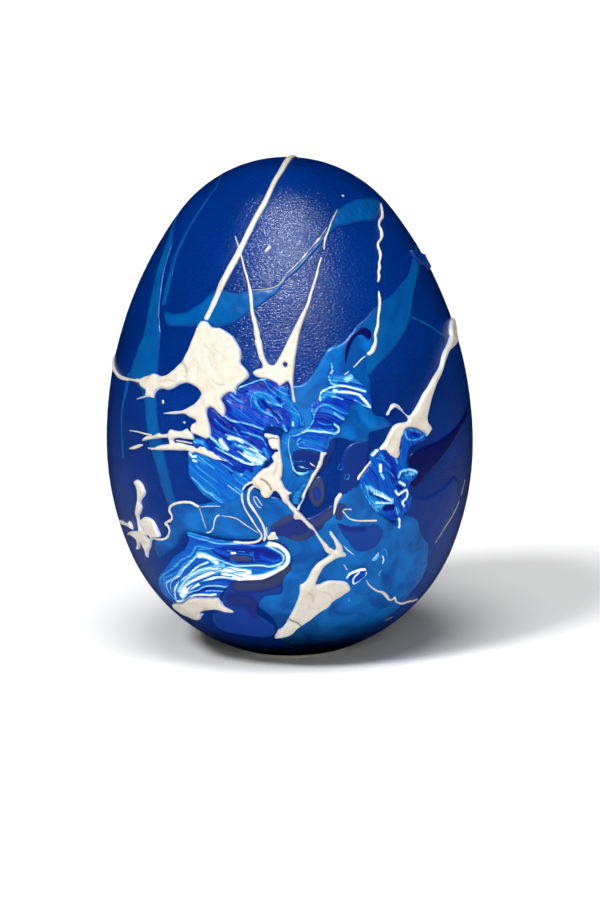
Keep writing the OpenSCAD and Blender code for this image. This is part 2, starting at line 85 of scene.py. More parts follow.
# Sanded lime wood: pale, close-grained, with faint turning rings and almost no gloss
lime_wood, tree, out = new_material("sanded_lime_wood")
ring_spacing = 1.2 * MM
place = add(tree, "TexCoord", {}).outputs["Object"]
rings = add(tree, "TexWave",
            {"Vector": place, "Scale": 1 / (6.3 * ring_spacing), "Distortion": 1.5, "Detail": 3.0},
            wave_type="RINGS", rings_direction="Z")
grain = add(tree, "ValToRGB", {"Fac": rings.outputs["Fac"]})
grain.color_ramp.elements[0].color = linear("b9986a")
grain.color_ramp.elements[1].color = linear("d2b88c")
pores = add(tree, "TexNoise", {"Vector": place, "Scale": 1 / (0.3 * MM), "Detail": 4.0})
tooth = add(tree, "Bump", {"Height": pores.outputs["Fac"], "Distance": 0.02 * MM, "Strength": 0.6})
bsdf = add(tree, "BsdfPrincipled",
           {"Base Color": grain.outputs["Color"], "Roughness": 0.72, "Normal": tooth.outputs["Normal"]})
tree.links.new(bsdf.outputs["BSDF"], out.inputs["Surface"])
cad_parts["wooden_core"].data.materials.clear()
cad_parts["wooden_core"].data.materials.append(lime_wood)

# ---- Primer coat ----
# One brushed coat of white acrylic primer seals the wood and gives the blue its brightness.
# Only its thin edge shows, at the hem above the foot.

# Acrylic primer: chalky white with no gloss, full of fine filler
primer, tree, out = new_material("matt_white_primer")
chalk = add(tree, "TexNoise",
            {"Vector": add(tree, "TexCoord", {}).outputs["Object"], "Scale": 1 / (0.15 * MM), "Detail": 2.0})
tooth = add(tree, "Bump", {"Height": chalk.outputs["Fac"], "Distance": 0.01 * MM})
bsdf = add(tree, "BsdfPrincipled",
           {"Base Color": linear("e9e6dc"), "Roughness": 0.85, "Normal": tooth.outputs["Normal"]})
tree.links.new(bsdf.outputs["BSDF"], out.inputs["Surface"])
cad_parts["primer_coat"].data.materials.clear()
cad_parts["primer_coat"].data.materials.append(primer)

# ---- Ground coat ----
# Ultramarine acrylic dabbed all over with a sponge. The dabbing leaves a fine stipple that
# breaks the light into sparkles. It is one closed skin with a hem just above the foot.

coat_low, coat_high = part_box("ground_coat")
half_width = (coat_high.x - coat_low.x) / 2 / MM
egg_height = coat_high.z / MM
hem_z = coat_low.z / MM
coat_thickness = 0.15
widest_z = 25.4
crown_radius = 16.0
base_radius = 21.2
base_drop = 5.0
crown_z = egg_height - crown_radius
base_z = widest_z - base_drop
crown_rise = crown_z - widest_z
# The flanks are arcs, upright at the widest level and tangent to the crown and base arcs
crown_flank = (half_width ** 2 + crown_rise ** 2 - crown_radius ** 2) / (2 * (half_width - crown_radius))
base_flank = (half_width ** 2 + base_drop ** 2 - base_radius ** 2) / (2 * (half_width - base_radius))
crown_join = crown_z + crown_radius * crown_rise / (crown_flank - crown_radius)
base_join = base_z - base_radius * base_drop / (base_flank - base_radius)


def arc_at(z):
    """Centre (radius, height) and radius of the profile arc that holds each height."""
    which = [z > crown_join, z > widest_z, z > base_join]
    centre_r = np.select(which, [0, half_width - crown_flank, half_width - base_flank], 0.0)
    centre_z = np.select(which, [crown_z, widest_z, widest_z], base_z)
    radius = np.select(which, [crown_radius, crown_flank, base_flank], base_radius)
    return centre_r, centre_z, radius


def radius_at(z):
    """Half width of the egg at each height."""
    centre_r, centre_z, radius = arc_at(np.asarray(z, float))
    return centre_r + np.sqrt(np.maximum(radius ** 2 - (z - centre_z) ** 2, 0))


def at_longitude(longitude, z, lift=0.0):
    """Points on the egg, raised along its normal, in metres. Longitude is 0 at the front."""
    centre_r, centre_z, radius = arc_at(z)
    r = radius_at(z)
    out_r = r + lift * (r - centre_r) / radius
    out_z = z + lift * (z - centre_z) / radius
    return np.column_stack([out_r * np.sin(longitude), -out_r * np.cos(longitude), out_z]) * MM


def seen(rows):
    """Elevation rows (x, z, ...), seen square-on from the front, as unrolled rows."""
    rows = np.array(rows, float)
    sine = np.clip(rows[:, 0] / radius_at(rows[:, 1]), -1, 1)
    rows[:, 0] = np.arcsin(sine) * half_width
    return rows


def around(rows):
    """Rows (longitude in degrees, z, ...) as unrolled rows, whose first value is mm at the widest level."""
    rows = np.array(rows, float)
    rows[:, 0] = np.radians(rows[:, 0]) * half_width
    return rows


def lay(flat, lift=0.0):
    """Unrolled points laid on the egg and raised by a number of mm."""
    return at_longitude(flat[:, 0] / half_width, flat[:, 1], lift)


def ripple(flat, period, seed):
    """Smooth seeded unevenness, from about -1 to 1, whose waves are about one period long."""
    wave_count = 7
    usual_peak = 3.2
    random = np.random.default_rng(seed)
    angles = random.uniform(0, 2 * math.pi, wave_count)
    lengths = period * random.uniform(0.7, 1.6, wave_count)
    phases = random.uniform(0, 2 * math.pi, wave_count)
    waves = [np.sin(2 * math.pi * (flat[:, 0] * math.cos(a) + flat[:, 1] * math.sin(a)) / l + p)
             for a, l, p in zip(angles, lengths, phases)]
    return sum(waves) / usual_peak


def make_piece(name, parts, material, node):
    """One object from parts of (vertices, faces, attributes), riding on the egg's only body."""
    vertices = []
    faces = []
    for points, polygons, _ in parts:
        faces += [tuple(int(i) + len(vertices) for i in polygon) for polygon in polygons]
        vertices += points.tolist()
    mesh = bpy.data.meshes.new(name)
    mesh.from_pydata(vertices, [], faces)
    shell = bmesh.new()
    shell.from_mesh(mesh)
    bmesh.ops.recalc_face_normals(shell, faces=shell.faces)
    shell.to_mesh(mesh)
    shell.free()
    for key in parts[0][2]:
        values = np.concatenate([part[2][key] for part in parts]).astype(np.float32)
        mesh.attributes.new(key, "FLOAT", "POINT").data.foreach_set("value", values)
    mesh.shade_smooth()
    mesh.materials.append(material)
    piece = bpy.data.objects.new(name, mesh)
    bpy.context.scene.collection.objects.link(piece)
    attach(piece, "root")
    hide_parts(node)


def coat_part(rings, columns):
    """The closed skin: outer face with a shallow orange-peel, inner face, and a flat hem between."""
    peel_depth = 0.012
    share = np.linspace(0, 1, rings)
    heights = hem_z + (egg_height - hem_z) * np.sin(share * math.pi / 2) ** 2
    heights = 0.5 * heights + 0.5 * (hem_z + (egg_height - hem_z) * share)
    heights[-1] = egg_height - 1e-4
    longitudes = np.linspace(0, 2 * math.pi, columns, endpoint=False)
    grid_z, grid_l = [g.ravel() for g in np.meshgrid(heights, longitudes, indexing="ij")]
    surface = at_longitude(grid_l, grid_z)
    peel = ripple(surface[:, [0, 2]] / MM, 1.7, 5) * ripple(surface[:, [1, 2]] / MM, 2.1, 6)
    peel *= np.clip((grid_z - hem_z) / 2, 0, 1) * np.clip((egg_height - grid_z) / 0.5, 0, 1)
    outer = at_longitude(grid_l, grid_z, peel_depth * (peel - 1))
    inner_z = np.maximum(grid_z, hem_z + coat_thickness)
    inner = at_longitude(grid_l, inner_z, -coat_thickness)
    count = rings * columns
    tips = np.array([[0, 0, egg_height], [0, 0, egg_height - coat_thickness]]) * MM
    index = np.arange(count).reshape(rings, columns)
    right = np.roll(index, -1, axis=1)
    quads = np.stack([index[:-1], right[:-1], right[1:], index[1:]], -1).reshape(-1, 4)
    faces = quads.tolist() + (quads[:, ::-1] + count).tolist()
    faces += [(index[-1, i], right[-1, i], 2 * count) for i in range(columns)]
    faces += [(right[-1, i] + count, index[-1, i] + count, 2 * count + 1) for i in range(columns)]
    faces += [(right[0, i], index[0, i], index[0, i] + count, right[0, i] + count) for i in range(columns)]
    return np.vstack([outer, inner, tips]), faces, {}


# Sponged acrylic: deep ultramarine with a satin skin, the stipple as fine as the sponge's pores
ground_paint, tree, out = new_material("sponged_ultramarine_acrylic")
stipple = 0.27 * MM
place = add(tree, "TexCoord", {}).outputs["Object"]
streaks = add(tree, "Mapping", {"Vector": place, "Scale": (0.8, 0.8, 1.3)}).outputs["Vector"]
dabs = add(tree, "TexNoise", {"Vector": streaks, "Scale": 1 / stipple, "Detail": 2.0, "Roughness": 0.7})
cloud = add(tree, "TexNoise", {"Vector": place, "Scale": 1 / (9 * MM), "Detail": 3.0})
tone = add(tree, "ValToRGB", {"Fac": cloud.outputs["Fac"]})
tone.color_ramp.elements[0].position = 0.35
tone.color_ramp.elements[0].color = linear("002872")
tone.color_ramp.elements[1].position = 0.65
tone.color_ramp.elements[1].color = linear("002f81")
speckle = add(tree, "ValToRGB", {"Fac": dabs.outputs["Fac"]})
speckle.color_ramp.elements[0].position = 0.3
speckle.color_ramp.elements[0].color = linear("d0d0d0")
speckle.color_ramp.elements[1].position = 0.7
speckle.color_ramp.elements[1].color = linear("ffffff")
colour = add(tree, "Mix", {"Factor": 1.0}, data_type="RGBA", blend_type="MULTIPLY")
tree.links.new(tone.outputs["Color"], colour.inputs["A"])
tree.links.new(speckle.outputs["Color"], colour.inputs["B"])
# Painted shade: the last few millimetres above the hem are mixed to nearly black, standing in for the shade
# where the egg meets the floor
level = add(tree, "SeparateXYZ", {"Vector": place}).outputs["Z"]
foot = add(tree, "MapRange", {"Value": level, "From Min": 1.6 * MM, "From Max": 5.4 * MM})
painted_foot_shade = add(tree, "Mix", {"Factor": foot.outputs["Result"], "A": linear("000413")}, data_type="RGBA")
tree.links.new(colour.outputs["Result"], painted_foot_shade.inputs["B"])
tooth = add(tree, "Bump", {"Height": dabs.outputs["Fac"], "Distance": 0.11 * MM})
bsdf = add(tree, "BsdfPrincipled",
           {"Base Color": painted_foot_shade.outputs["Result"], "Roughness": 0.15, "Specular IOR Level": 0.3,
            "Normal": tooth.outputs["Normal"]})
tree.links.new(bsdf.outputs["BSDF"], out.inputs["Surface"])
make_piece("ground_coat_skin", [coat_part(260, 520)], ground_paint, "ground_coat")

# ---- Veils ----
# Cerulean let down with glazing liquid and trailed over the dry blue, before any thick paint.
# Each is so thin that the stipple of the ground coat still shows through it.


def smooth_line(rows, closed, spacing):
    """A smooth line through given rows, with a point about every spacing mm."""
    rows = np.array(rows, float)
    if closed:
        rows = np.vstack([rows[-1:], rows, rows[:2]])
    else:
        rows = np.vstack([2 * rows[:1] - rows[1:2], rows, 2 * rows[-1:] - rows[-2:-1]])
    pieces = []
    for p0, p1, p2, p3 in zip(rows, rows[1:], rows[2:], rows[3:]):
        a, b, c = [max(np.linalg.norm(q - p), 1e-4) ** 0.5 for p, q in ((p0, p1), (p1, p2), (p2, p3))]
        leave = b * ((p1 - p0) / a - (p2 - p0) / (a + b)) + (p2 - p1)
        arrive = b * ((p3 - p2) / c - (p3 - p1) / (b + c)) + (p2 - p1)
        steps = max(1, math.ceil(np.linalg.norm(p2 - p1) / spacing))
        t = (np.arange(steps) / steps)[:, None]
        pieces.append((2 * t ** 3 - 3 * t ** 2 + 1) * p1 + (t ** 3 - 2 * t ** 2 + t) * leave
                      + (3 * t ** 2 - 2 * t ** 3) * p2 + (t ** 3 - t ** 2) * arrive)
    if not closed:
        pieces.append(rows[-2:-1])
    return np.vstack(pieces)


def distance_to(flat, lines, closed=True):
    """Distance in mm from each point to the nearest of some lines."""
    batch = 1500
    nearest = np.full(len(flat), 1e9)
    for line in lines:
        ends = np.roll(line, -1, axis=0) if closed else line[1:]
        starts = line if closed else line[:-1]
        span = ends - starts
        length2 = np.maximum((span ** 2).sum(1), 1e-12)
        for i in range(0, len(flat), batch):
            gap = flat[i:i + batch, None, :] - starts[None]
            t = np.clip((gap * span).sum(2) / length2, 0, 1)
            gap -= t[..., None] * span
            nearest[i:i + batch] = np.minimum(nearest[i:i + batch], np.sqrt((gap ** 2).sum(2).min(1)))
    return nearest


def is_inside(flat, loops):
    """Whether each point is inside the outline and outside its holes."""
    batch = 1500
    inside = np.zeros(len(flat), bool)
    for loop in loops:
        ends = np.roll(loop, -1, axis=0)
        for i in range(0, len(flat), batch):
            x, z = flat[i:i + batch, None, 0], flat[i:i + batch, None, 1]
            crosses = (loop[:, 1] > z) != (ends[:, 1] > z)
            rise = np.where(ends[:, 1] == loop[:, 1], 1e-9, ends[:, 1] - loop[:, 1])
            at = loop[:, 0] + (z - loop[:, 1]) * (ends[:, 0] - loop[:, 0]) / rise
            inside[i:i + batch] ^= ((crosses & (x < at)).sum(1) % 2).astype(bool)
    return inside


def film(outline, thick, rim=0.4, step=0.2, holes=(), pits=(), wave=0.03, base=0.0, strokes=(), grain=0,
         chart=seen):
    """A closed film of paint within an outline: a rounded rim, an uneven top and a smooth underside.

    Thick is its height, rim the width of the rounded edge and step the spacing of its points, in mm.
    Pits are (x, z, radius, depth). Strokes are (tone, width, height, line), laid one over another.
    Grain is the direction, in degrees above level, in which the paint was dragged.
    """
    loops = [smooth_line(chart(outline)[:, :2], True, step)]
    loops += [smooth_line(chart(hole), True, step / 2) for hole in holes]
    edges = []
    for loop in loops:
        first = len(edges)
        edges += [(first + i, first + (i + 1) % len(loop)) for i in range(len(loop))]
    low, high = loops[0].min(0), loops[0].max(0)
    # A triangular grid fills the outline, and keeps a little clear of it
    row = 0.87 * step
    grid_x, grid_z = np.meshgrid(np.arange(low[0], high[0], step), np.arange(low[1], high[1], row))
    grid_x[1::2] += step / 2
    inner = np.column_stack([grid_x.ravel(), grid_z.ravel()])
    inner = inner[is_inside(inner, loops)]
    inner = inner[distance_to(inner, loops) > 0.45 * step]
    result = delaunay_2d_cdt([Vector(p) for p in np.vstack(loops + [inner])], edges, [], 0, 1e-6)
    flat = np.array([p[:] for p in result[0]])
    faces = np.array(result[2])
    faces = faces[is_inside(flat[faces].mean(1), loops)]
    used = np.unique(faces)
    renumber = np.zeros(len(flat), int)
    renumber[used] = np.arange(len(used))
    flat, faces = flat[used], renumber[faces]

    count = len(flat)
    body = np.clip(distance_to(flat, loops) / rim, 0, 1)
    dome = np.sqrt(1 - (1 - body) ** 2)
    height = thick + wave * ripple(flat, 1.6, count)
    for x, z, radius, depth in pits:
        middle = chart([(x, z)])[0]
        height -= depth * np.exp(-((flat - middle) ** 2).sum(1) / radius ** 2)
    tone = np.full(count, float(base))
    for stroke_tone, width, rise, line in strokes:
        near = 1 - 2 * distance_to(flat, [smooth_line(chart(line), False, 0.3)], False) / width
        tone += (stroke_tone - tone) * np.clip(1.6 * near, 0, 1)
        height += rise * np.clip(near, 0, 1) ** 0.5
    # Veins run along the grain, with a slow waver
    angle = math.radians(grain)
    vein = flat[:, 1] * math.cos(angle) - flat[:, 0] * math.sin(angle) + 0.25 * ripple(flat, 6.0, 9)

    polygons = faces.tolist() + (faces[:, ::-1] + count).tolist()
    # The edges that belong to one triangle only are the rim, where the top is joined to the underside
    rim_edges = {}
    for a, b, c in faces.tolist():
        for start, end in ((a, b), (b, c), (c, a)):
            if (end, start) in rim_edges:
                del rim_edges[end, start]
            else:
                rim_edges[start, end] = True
    polygons += [(b, a, a + count, b + count) for a, b in rim_edges]
    sunk = 0.03
    points = np.vstack([lay(flat, np.maximum(height * dome, 0.0)), lay(flat, -sunk)])
    return points, polygons, {"body": np.tile(body, 2), "tone": np.tile(tone, 2), "vein": np.tile(vein, 2)}


def sweep(rows, thick, tone=0.0):
    """A closed thread of paint along rows (x, y, z, width) in mm, lying on the egg, with round ends."""
    points, width = rows[:, :3], rows[:, 3]
    centre_r, centre_z, radius = arc_at(points[:, 2])
    r = np.maximum(np.hypot(points[:, 0], points[:, 1]), 1e-6)
    normal_r, normal_z = r - centre_r, points[:, 2] - centre_z
    size = np.hypot(normal_r, normal_z)
    outward = points[:, :2] / r[:, None] * normal_r[:, None]
    normal = np.column_stack([outward, normal_z]) / size[:, None]
    points = points + normal * (radius - size)[:, None]
    along = np.gradient(points, axis=0)
    along /= np.linalg.norm(along, axis=1)[:, None]
    across = np.cross(along, normal)
    run = np.concatenate([[0], np.cumsum(np.linalg.norm(np.diff(points, axis=0), axis=1))])
    reach = np.clip(np.minimum(run, run[-1] - run) / (0.5 * width), 0.02, 1)
    taper = np.sqrt(1 - (1 - reach) ** 2)
    # A fine thread still stands high enough to clear the pools that it crosses, but a wash doesn't
    least = 0.15 if thick > 0.05 else 0.0
    height = np.maximum(thick * np.clip(width / 0.4, 0.35, 1), least) * taper
    sides = 7
    sunk = 0.02
    angles = np.linspace(0, math.pi, sides)
    rings = [points + across * (0.5 * width * taper * math.cos(a))[:, None]
             + normal * (height * math.sin(a) - sunk)[:, None] for a in angles]
    count = len(points)
    index = np.arange(sides * count).reshape(sides, count)
    polygons = [tuple(index[::-1, 0]), tuple(index[:, -1])]
    for i in range(sides):
        j = (i + 1) % sides
        polygons += [(index[i, k], index[i, k + 1], index[j, k + 1], index[j, k]) for k in range(count - 1)]
    fat = np.concatenate([np.sin(a) * np.ones(count) for a in angles])
    return np.vstack(rings) * MM, polygons, {"body": fat, "tone": tone + 0 * fat, "vein": 0 * fat}


def strand(rows, thick=0.22, width=None, tone=0.0, chart=seen):
    """A thread of paint along rows (x, z, width), a little uneven in width."""
    rows = np.array(rows, float)
    if width:
        rows = np.column_stack([rows[:, :2], np.full(len(rows), width)])
    rows = smooth_line(chart(rows), False, 0.12)
    rows[:, 2] = np.maximum(rows[:, 2] * (1 + 0.12 * ripple(rows, 0.9, len(rows))), 0.06)
    return sweep(np.column_stack([lay(rows) / MM, rows[:, 2]]), thick, tone)


# Glazing acrylic: transparent cerulean, drying flat and slightly glossier than the ground
glaze, tree, out = new_material("thin_cerulean_glaze")
place = add(tree, "TexCoord", {}).outputs["Object"]
body = add(tree, "Attribute", {}, attribute_name="body").outputs["Fac"]
cloud = add(tree, "TexNoise", {"Vector": place, "Scale": 1 / (3.5 * MM), "Detail": 4.0})
uneven = add(tree, "Math", {0: body, 1: cloud.outputs["Fac"]}, operation="MULTIPLY")
tone = add(tree, "ValToRGB", {"Fac": uneven.outputs["Value"]})
tone.color_ramp.elements[0].position = 0.0
tone.color_ramp.elements[0].color = linear("00317a")
tone.color_ramp.elements[1].position = 0.6
tone.color_ramp.elements[1].color = linear("005090")
dabs = add(tree, "TexNoise", {"Vector": place, "Scale": 1 / stipple, "Detail": 2.0, "Roughness": 0.7})
tooth = add(tree, "Bump", {"Height": dabs.outputs["Fac"], "Distance": 0.03 * MM})
bsdf = add(tree, "BsdfPrincipled",
           {"Base Color": tone.outputs["Color"], "Roughness": 0.28, "Specular IOR Level": 0.25,
            "Normal": tooth.outputs["Normal"]})
tree.links.new(bsdf.outputs["BSDF"], out.inputs["Surface"])

veil_thickness = 0.05

# The left veil: a long run down the flank, forked at the bottom, with a finer trail inside it
veil_run = [
    (-12.6, 53.9), (-14.2, 50.8), (-15.3, 48), (-15.9, 46), (-16.4, 43.9), (-16.75, 42.2), (-17.1, 40.6),
    (-17.75, 39), (-18.5, 37), (-18.9, 35.6), (-18.4, 35), (-17.6, 34.3), (-17.2, 33), (-17.05, 31),
    (-16.8, 29), (-16.4, 27.2), (-15.9, 25.6), (-15.3, 23.2), (-14.7, 21.4), (-14, 20.6), (-13.4, 21),
    (-13.8, 22.6), (-14.3, 24.8), (-14.8, 27.2), (-15.2, 29), (-15.5, 31), (-15.6, 33), (-15.6, 35),
    (-15.4, 37), (-15.2, 39), (-15.05, 41), (-15.2, 43), (-15, 45), (-14.7, 47), (-14.3, 48.6),
    (-13.6, 50.6)
]
veil_fork = [(-18.9, 35.8, 1.3), (-19.4, 33.6, 0.9), (-19.8, 32, 0.6), (-20, 30.3, 0.5), (-20, 28, 0.5),
             (-19.9, 25.5, 0.8)]
veil_trail = [(-7.35, 58.2, 0.2), (-8.4, 56.9, 0.3), (-9.65, 55.4, 0.35), (-10.75, 53.9, 0.45),
              (-11.75, 52.3, 0.5), (-12.5, 50.9, 0.6), (-13.2, 49.4, 0.7), (-13.7, 47.8, 0.8),
              (-14.1, 46.4, 0.9), (-14.4, 45.1, 0.9), (-14.7, 44, 0.8)]
make_piece("veil_run_left",
           [film(veil_run, veil_thickness, rim=0.3, step=0.3), strand(veil_fork, veil_thickness),
            strand(veil_trail, thick=0.04)], glaze, "veil_left")

# The ribbon climbs from the left flank to the upper right, widening into a leaf at its end
ribbon = [
    (-14.6, 43.4), (-13.5, 43.4), (-12.8, 43.5), (-11.8, 43.8), (-11, 44.4), (-10, 45), (-9.35, 45.7),
    (-8.5, 46.4), (-7.45, 46.5), (-6.7, 46.3), (-5.95, 46.2), (-5.1, 46.4), (-4.1, 46.5), (-3.2, 46.6),
    (-2.2, 46.7), (-1.1, 47.05), (-0.45, 47.6), (0.05, 48.3), (0.8, 48.85), (1.55, 49.5), (2.15, 50.2),
    (3, 51), (3.8, 51.75), (4.4, 52.4), (4.85, 52.7), (5.1, 53.4), (5.8, 54.3), (6.2, 54.9), (6.85, 55.35),
    (7.6, 55.6), (8.4, 55.75), (9.3, 55.7), (10.65, 55.4), (11.3, 54.9), (11, 53.9), (10.6, 53.3),
    (8.9, 53.4), (7, 53.2), (6.2, 53.1), (5.75, 52.85), (4.95, 52.2), (4.25, 51.5), (3.3, 50.6),
    (2.35, 49.65), (1.25, 48.6), (0.05, 47.75), (-1.25, 46.2), (-1.95, 45.75), (-2.65, 45.2), (-3.5, 44.65),
    (-4.75, 43.9), (-5.6, 43.3), (-6.5, 42.8), (-7.5, 42.5), (-8.4, 42.2), (-9.1, 42.5), (-10.95, 42.2),
    (-12.15, 42.1), (-13.25, 42), (-14.2, 42)
]
make_piece("veil_ribbon_across", [film(ribbon, veil_thickness, rim=0.3, step=0.25)], glaze,
           "veil_ribbon")

# A hair of white lies along its upper edge, and is laid with the specks further on
ribbon_edge = [
    (-4.1, 46.55, 0.07), (-2.2, 46.7, 0.1), (-1.1, 47.05, 0.1), (-0.45, 47.6, 0.14), (0.05, 48.3, 0.08),
    (0.8, 48.95, 0.14), (1.6, 49.65, 0.09), (2.2, 50.3, 0.26), (2.5, 50.6, 0.08), (3.2, 51.3, 0.08),
    (3.8, 51.9, 0.3), (4.1, 52.2, 0.1), (4.9, 53.2, 0.07)
]

# The right leaf hangs from a point, swells, and runs down into the middle pool
leaf = [
    (15.6, 49.3), (15.2, 48.6), (14.8, 47.7), (14.3, 46.7), (13.45, 46.1), (12.35, 45.1), (11.5, 44.7),
    (10.2, 43.9), (9.3, 43.1), (8.4, 42.4), (7.8, 41.9), (7.4, 41), (7.6, 39.4), (8.2, 37.6), (8.9, 36.6),
    (9.4, 36.5), (10.1, 37), (10.55, 37.5), (11.65, 38.4), (12.55, 39.2), (13.3, 40.05), (14.05, 41),
    (14.6, 42.3), (14.9, 43.75), (15.2, 45.1), (15.5, 46), (15.85, 47)
]
make_piece("veil_leaf_hanging", [film(leaf, veil_thickness, rim=0.3, step=0.25)], glaze,
           "veil_leaf_right")

# A thin thread of the same blue lies alone on the right flank
lone = [(14.55, 42.35), (15.45, 41.8), (16.3, 41.2), (17.1, 40.6), (17.9, 39.85), (18.75, 39.1)]
make_piece("blue_thread_alone", [strand(lone, thick=0.1, width=0.28)], glaze,
           "blue_thread_right")

# ---- Pools ----
# Fluid mid-blue paint that ran together on the front and lower half and dried as smooth, flat
# pools with crisp edges. It is a little thicker than the veils.

# Fluid acrylic: a flat, glossy mid-blue, clouded where it was not quite mixed
pool_paint, tree, out = new_material("fluid_cobalt_acrylic")
place = add(tree, "TexCoord", {}).outputs["Object"]
cloud = add(tree, "TexNoise", {"Vector": place, "Scale": 1 / (3.0 * MM), "Detail": 3.0, "Distortion": 0.8})
tone = add(tree, "ValToRGB", {"Fac": cloud.outputs["Fac"]})
tone.color_ramp.elements[0].position = 0.36
tone.color_ramp.elements[0].color = linear("00428a")
tone.color_ramp.elements[1].position = 0.62
tone.color_ramp.elements[1].color = linear("0062ae")
dabs = add(tree, "TexNoise", {"Vector": place, "Scale": 1 / (0.6 * MM), "Detail": 2.0})
tooth = add(tree, "Bump", {"Height": dabs.outputs["Fac"], "Distance": 0.05 * MM})
# Painted shade: the pools are mixed darker towards the hem, as the ground is, for the shade near the floor
level = add(tree, "SeparateXYZ", {"Vector": place}).outputs["Z"]
foot = add(tree, "MapRange", {"Value": level, "From Min": 2.6 * MM, "From Max": 8.0 * MM})
painted_foot_shade = add(tree, "Mix", {"Factor": foot.outputs["Result"], "A": linear("00041c")}, data_type="RGBA")
tree.links.new(tone.outputs["Color"], painted_foot_shade.inputs["B"])
bsdf = add(tree, "BsdfPrincipled",
           {"Base Color": painted_foot_shade.outputs["Result"], "Roughness": 0.28, "Specular IOR Level": 0.25,
            "Normal": tooth.outputs["Normal"]})
tree.links.new(bsdf.outputs["BSDF"], out.inputs["Surface"])

pool_thickness = 0.1
middle_pool = [
    (6, 40.3), (5.2, 40.15), (4.6, 39.8), (4.05, 38.9), (3.5, 38), (2.95, 37.25), (2.1, 36.35), (1.35, 35.9),
    (0.5, 35.85), (-0.2, 35.2), (-0.5, 33), (-0.4, 31.5), (-0.9, 30), (-1.2, 28), (-1.2, 25), (-0.6, 23.6),
    (0.3, 22.4), (1.2, 22.6), (2.2, 24.2), (3.5, 26.8), (4.6, 28.5), (5.4, 29.6), (8, 28.9), (9.2, 28.9),
    (9.3, 29.8), (11.9, 30.5), (11, 31.5), (10, 31.9), (9.6, 33), (9.5, 36), (9.2, 37.4), (9.6, 38.6),
    (10, 40), (9.9, 41.2), (9, 41.9), (7.6, 41.6), (6.7, 40.7)
]
make_piece("pool_centre_flat", [film(middle_pool, pool_thickness, rim=0.3, step=0.3, wave=0.01)], pool_paint,
           "pool_centre")

lower_pool = [
    (-14.6, 16.8), (-14.5, 18.3), (-14.2, 19.3), (-14.2, 20.6), (-13.6, 21.4), (-12.2, 21.7), (-10.8, 21.6),
    (-8.6, 22.2), (-6, 23.1), (-4.6, 24), (-3.2, 23.2), (-1.2, 22.6), (0, 21.6), (2, 20), (4.6, 20.2),
    (5.6, 22.6), (7, 23.6), (8.4, 23.9), (9.6, 21.5), (10.5, 20.2), (12.4, 18.6), (13.4, 19.4), (14.8, 18.9),
    (15.4, 16.8), (16.3, 15), (16.2, 13.2), (16, 11.6), (15.2, 9.9), (13.8, 8.4), (12, 6), (9.6, 4.2),
    (7, 3), (3, 2.4), (0, 2.4), (-1.4, 3.8), (-1.8, 5.6), (-2.7, 7.4), (-4.1, 8.8), (-3.5, 10.2),
    (-1.3, 10.7), (-1.2, 12.4), (-0.2, 14.2), (-0.4, 16.4), (-2, 17.5), (-7, 17.6), (-12.3, 17.9),
    (-13.4, 16.4), (-14.6, 14.9), (-15.8, 13.9), (-16.3, 15), (-16.2, 16.2)
]
make_piece("pool_lower_flat", [film(lower_pool, pool_thickness, rim=0.3, step=0.35, wave=0.01)], pool_paint,
           "pool_lower")

# ---- Violet and navy films ----
# Where dark violet-navy was dropped into the wet pools it dried as flat, dull stains.
# The same mix makes the bent hook over the middle pool and the broad streak round the right flank.

# Fluid acrylic: navy with violet and a trace of brown, satin
violet_paint, tree, out = new_material("fluid_violet_navy_acrylic")
place = add(tree, "TexCoord", {}).outputs["Object"]
tone_in = add(tree, "Attribute", {}, attribute_name="tone").outputs["Fac"]
tone = add(tree, "ValToRGB", {"Fac": tone_in})
tone.color_ramp.elements[0].color = linear("00094e")
tone.color_ramp.elements[1].color = linear("343b5e")
tone.color_ramp.elements.new(0.3).color = linear("0a3688")
tone.color_ramp.elements.new(0.5).color = linear("0c2272")
cloud = add(tree, "TexNoise", {"Vector": place, "Scale": 1 / (2.0 * MM), "Detail": 3.0})
tooth = add(tree, "Bump", {"Height": cloud.outputs["Fac"], "Distance": 0.05 * MM})
bsdf = add(tree, "BsdfPrincipled",
           {"Base Color": tone.outputs["Color"], "Roughness": 0.32, "Specular IOR Level": 0.25,
            "Normal": tooth.outputs["Normal"]})
tree.links.new(bsdf.outputs["BSDF"], out.inputs["Surface"])

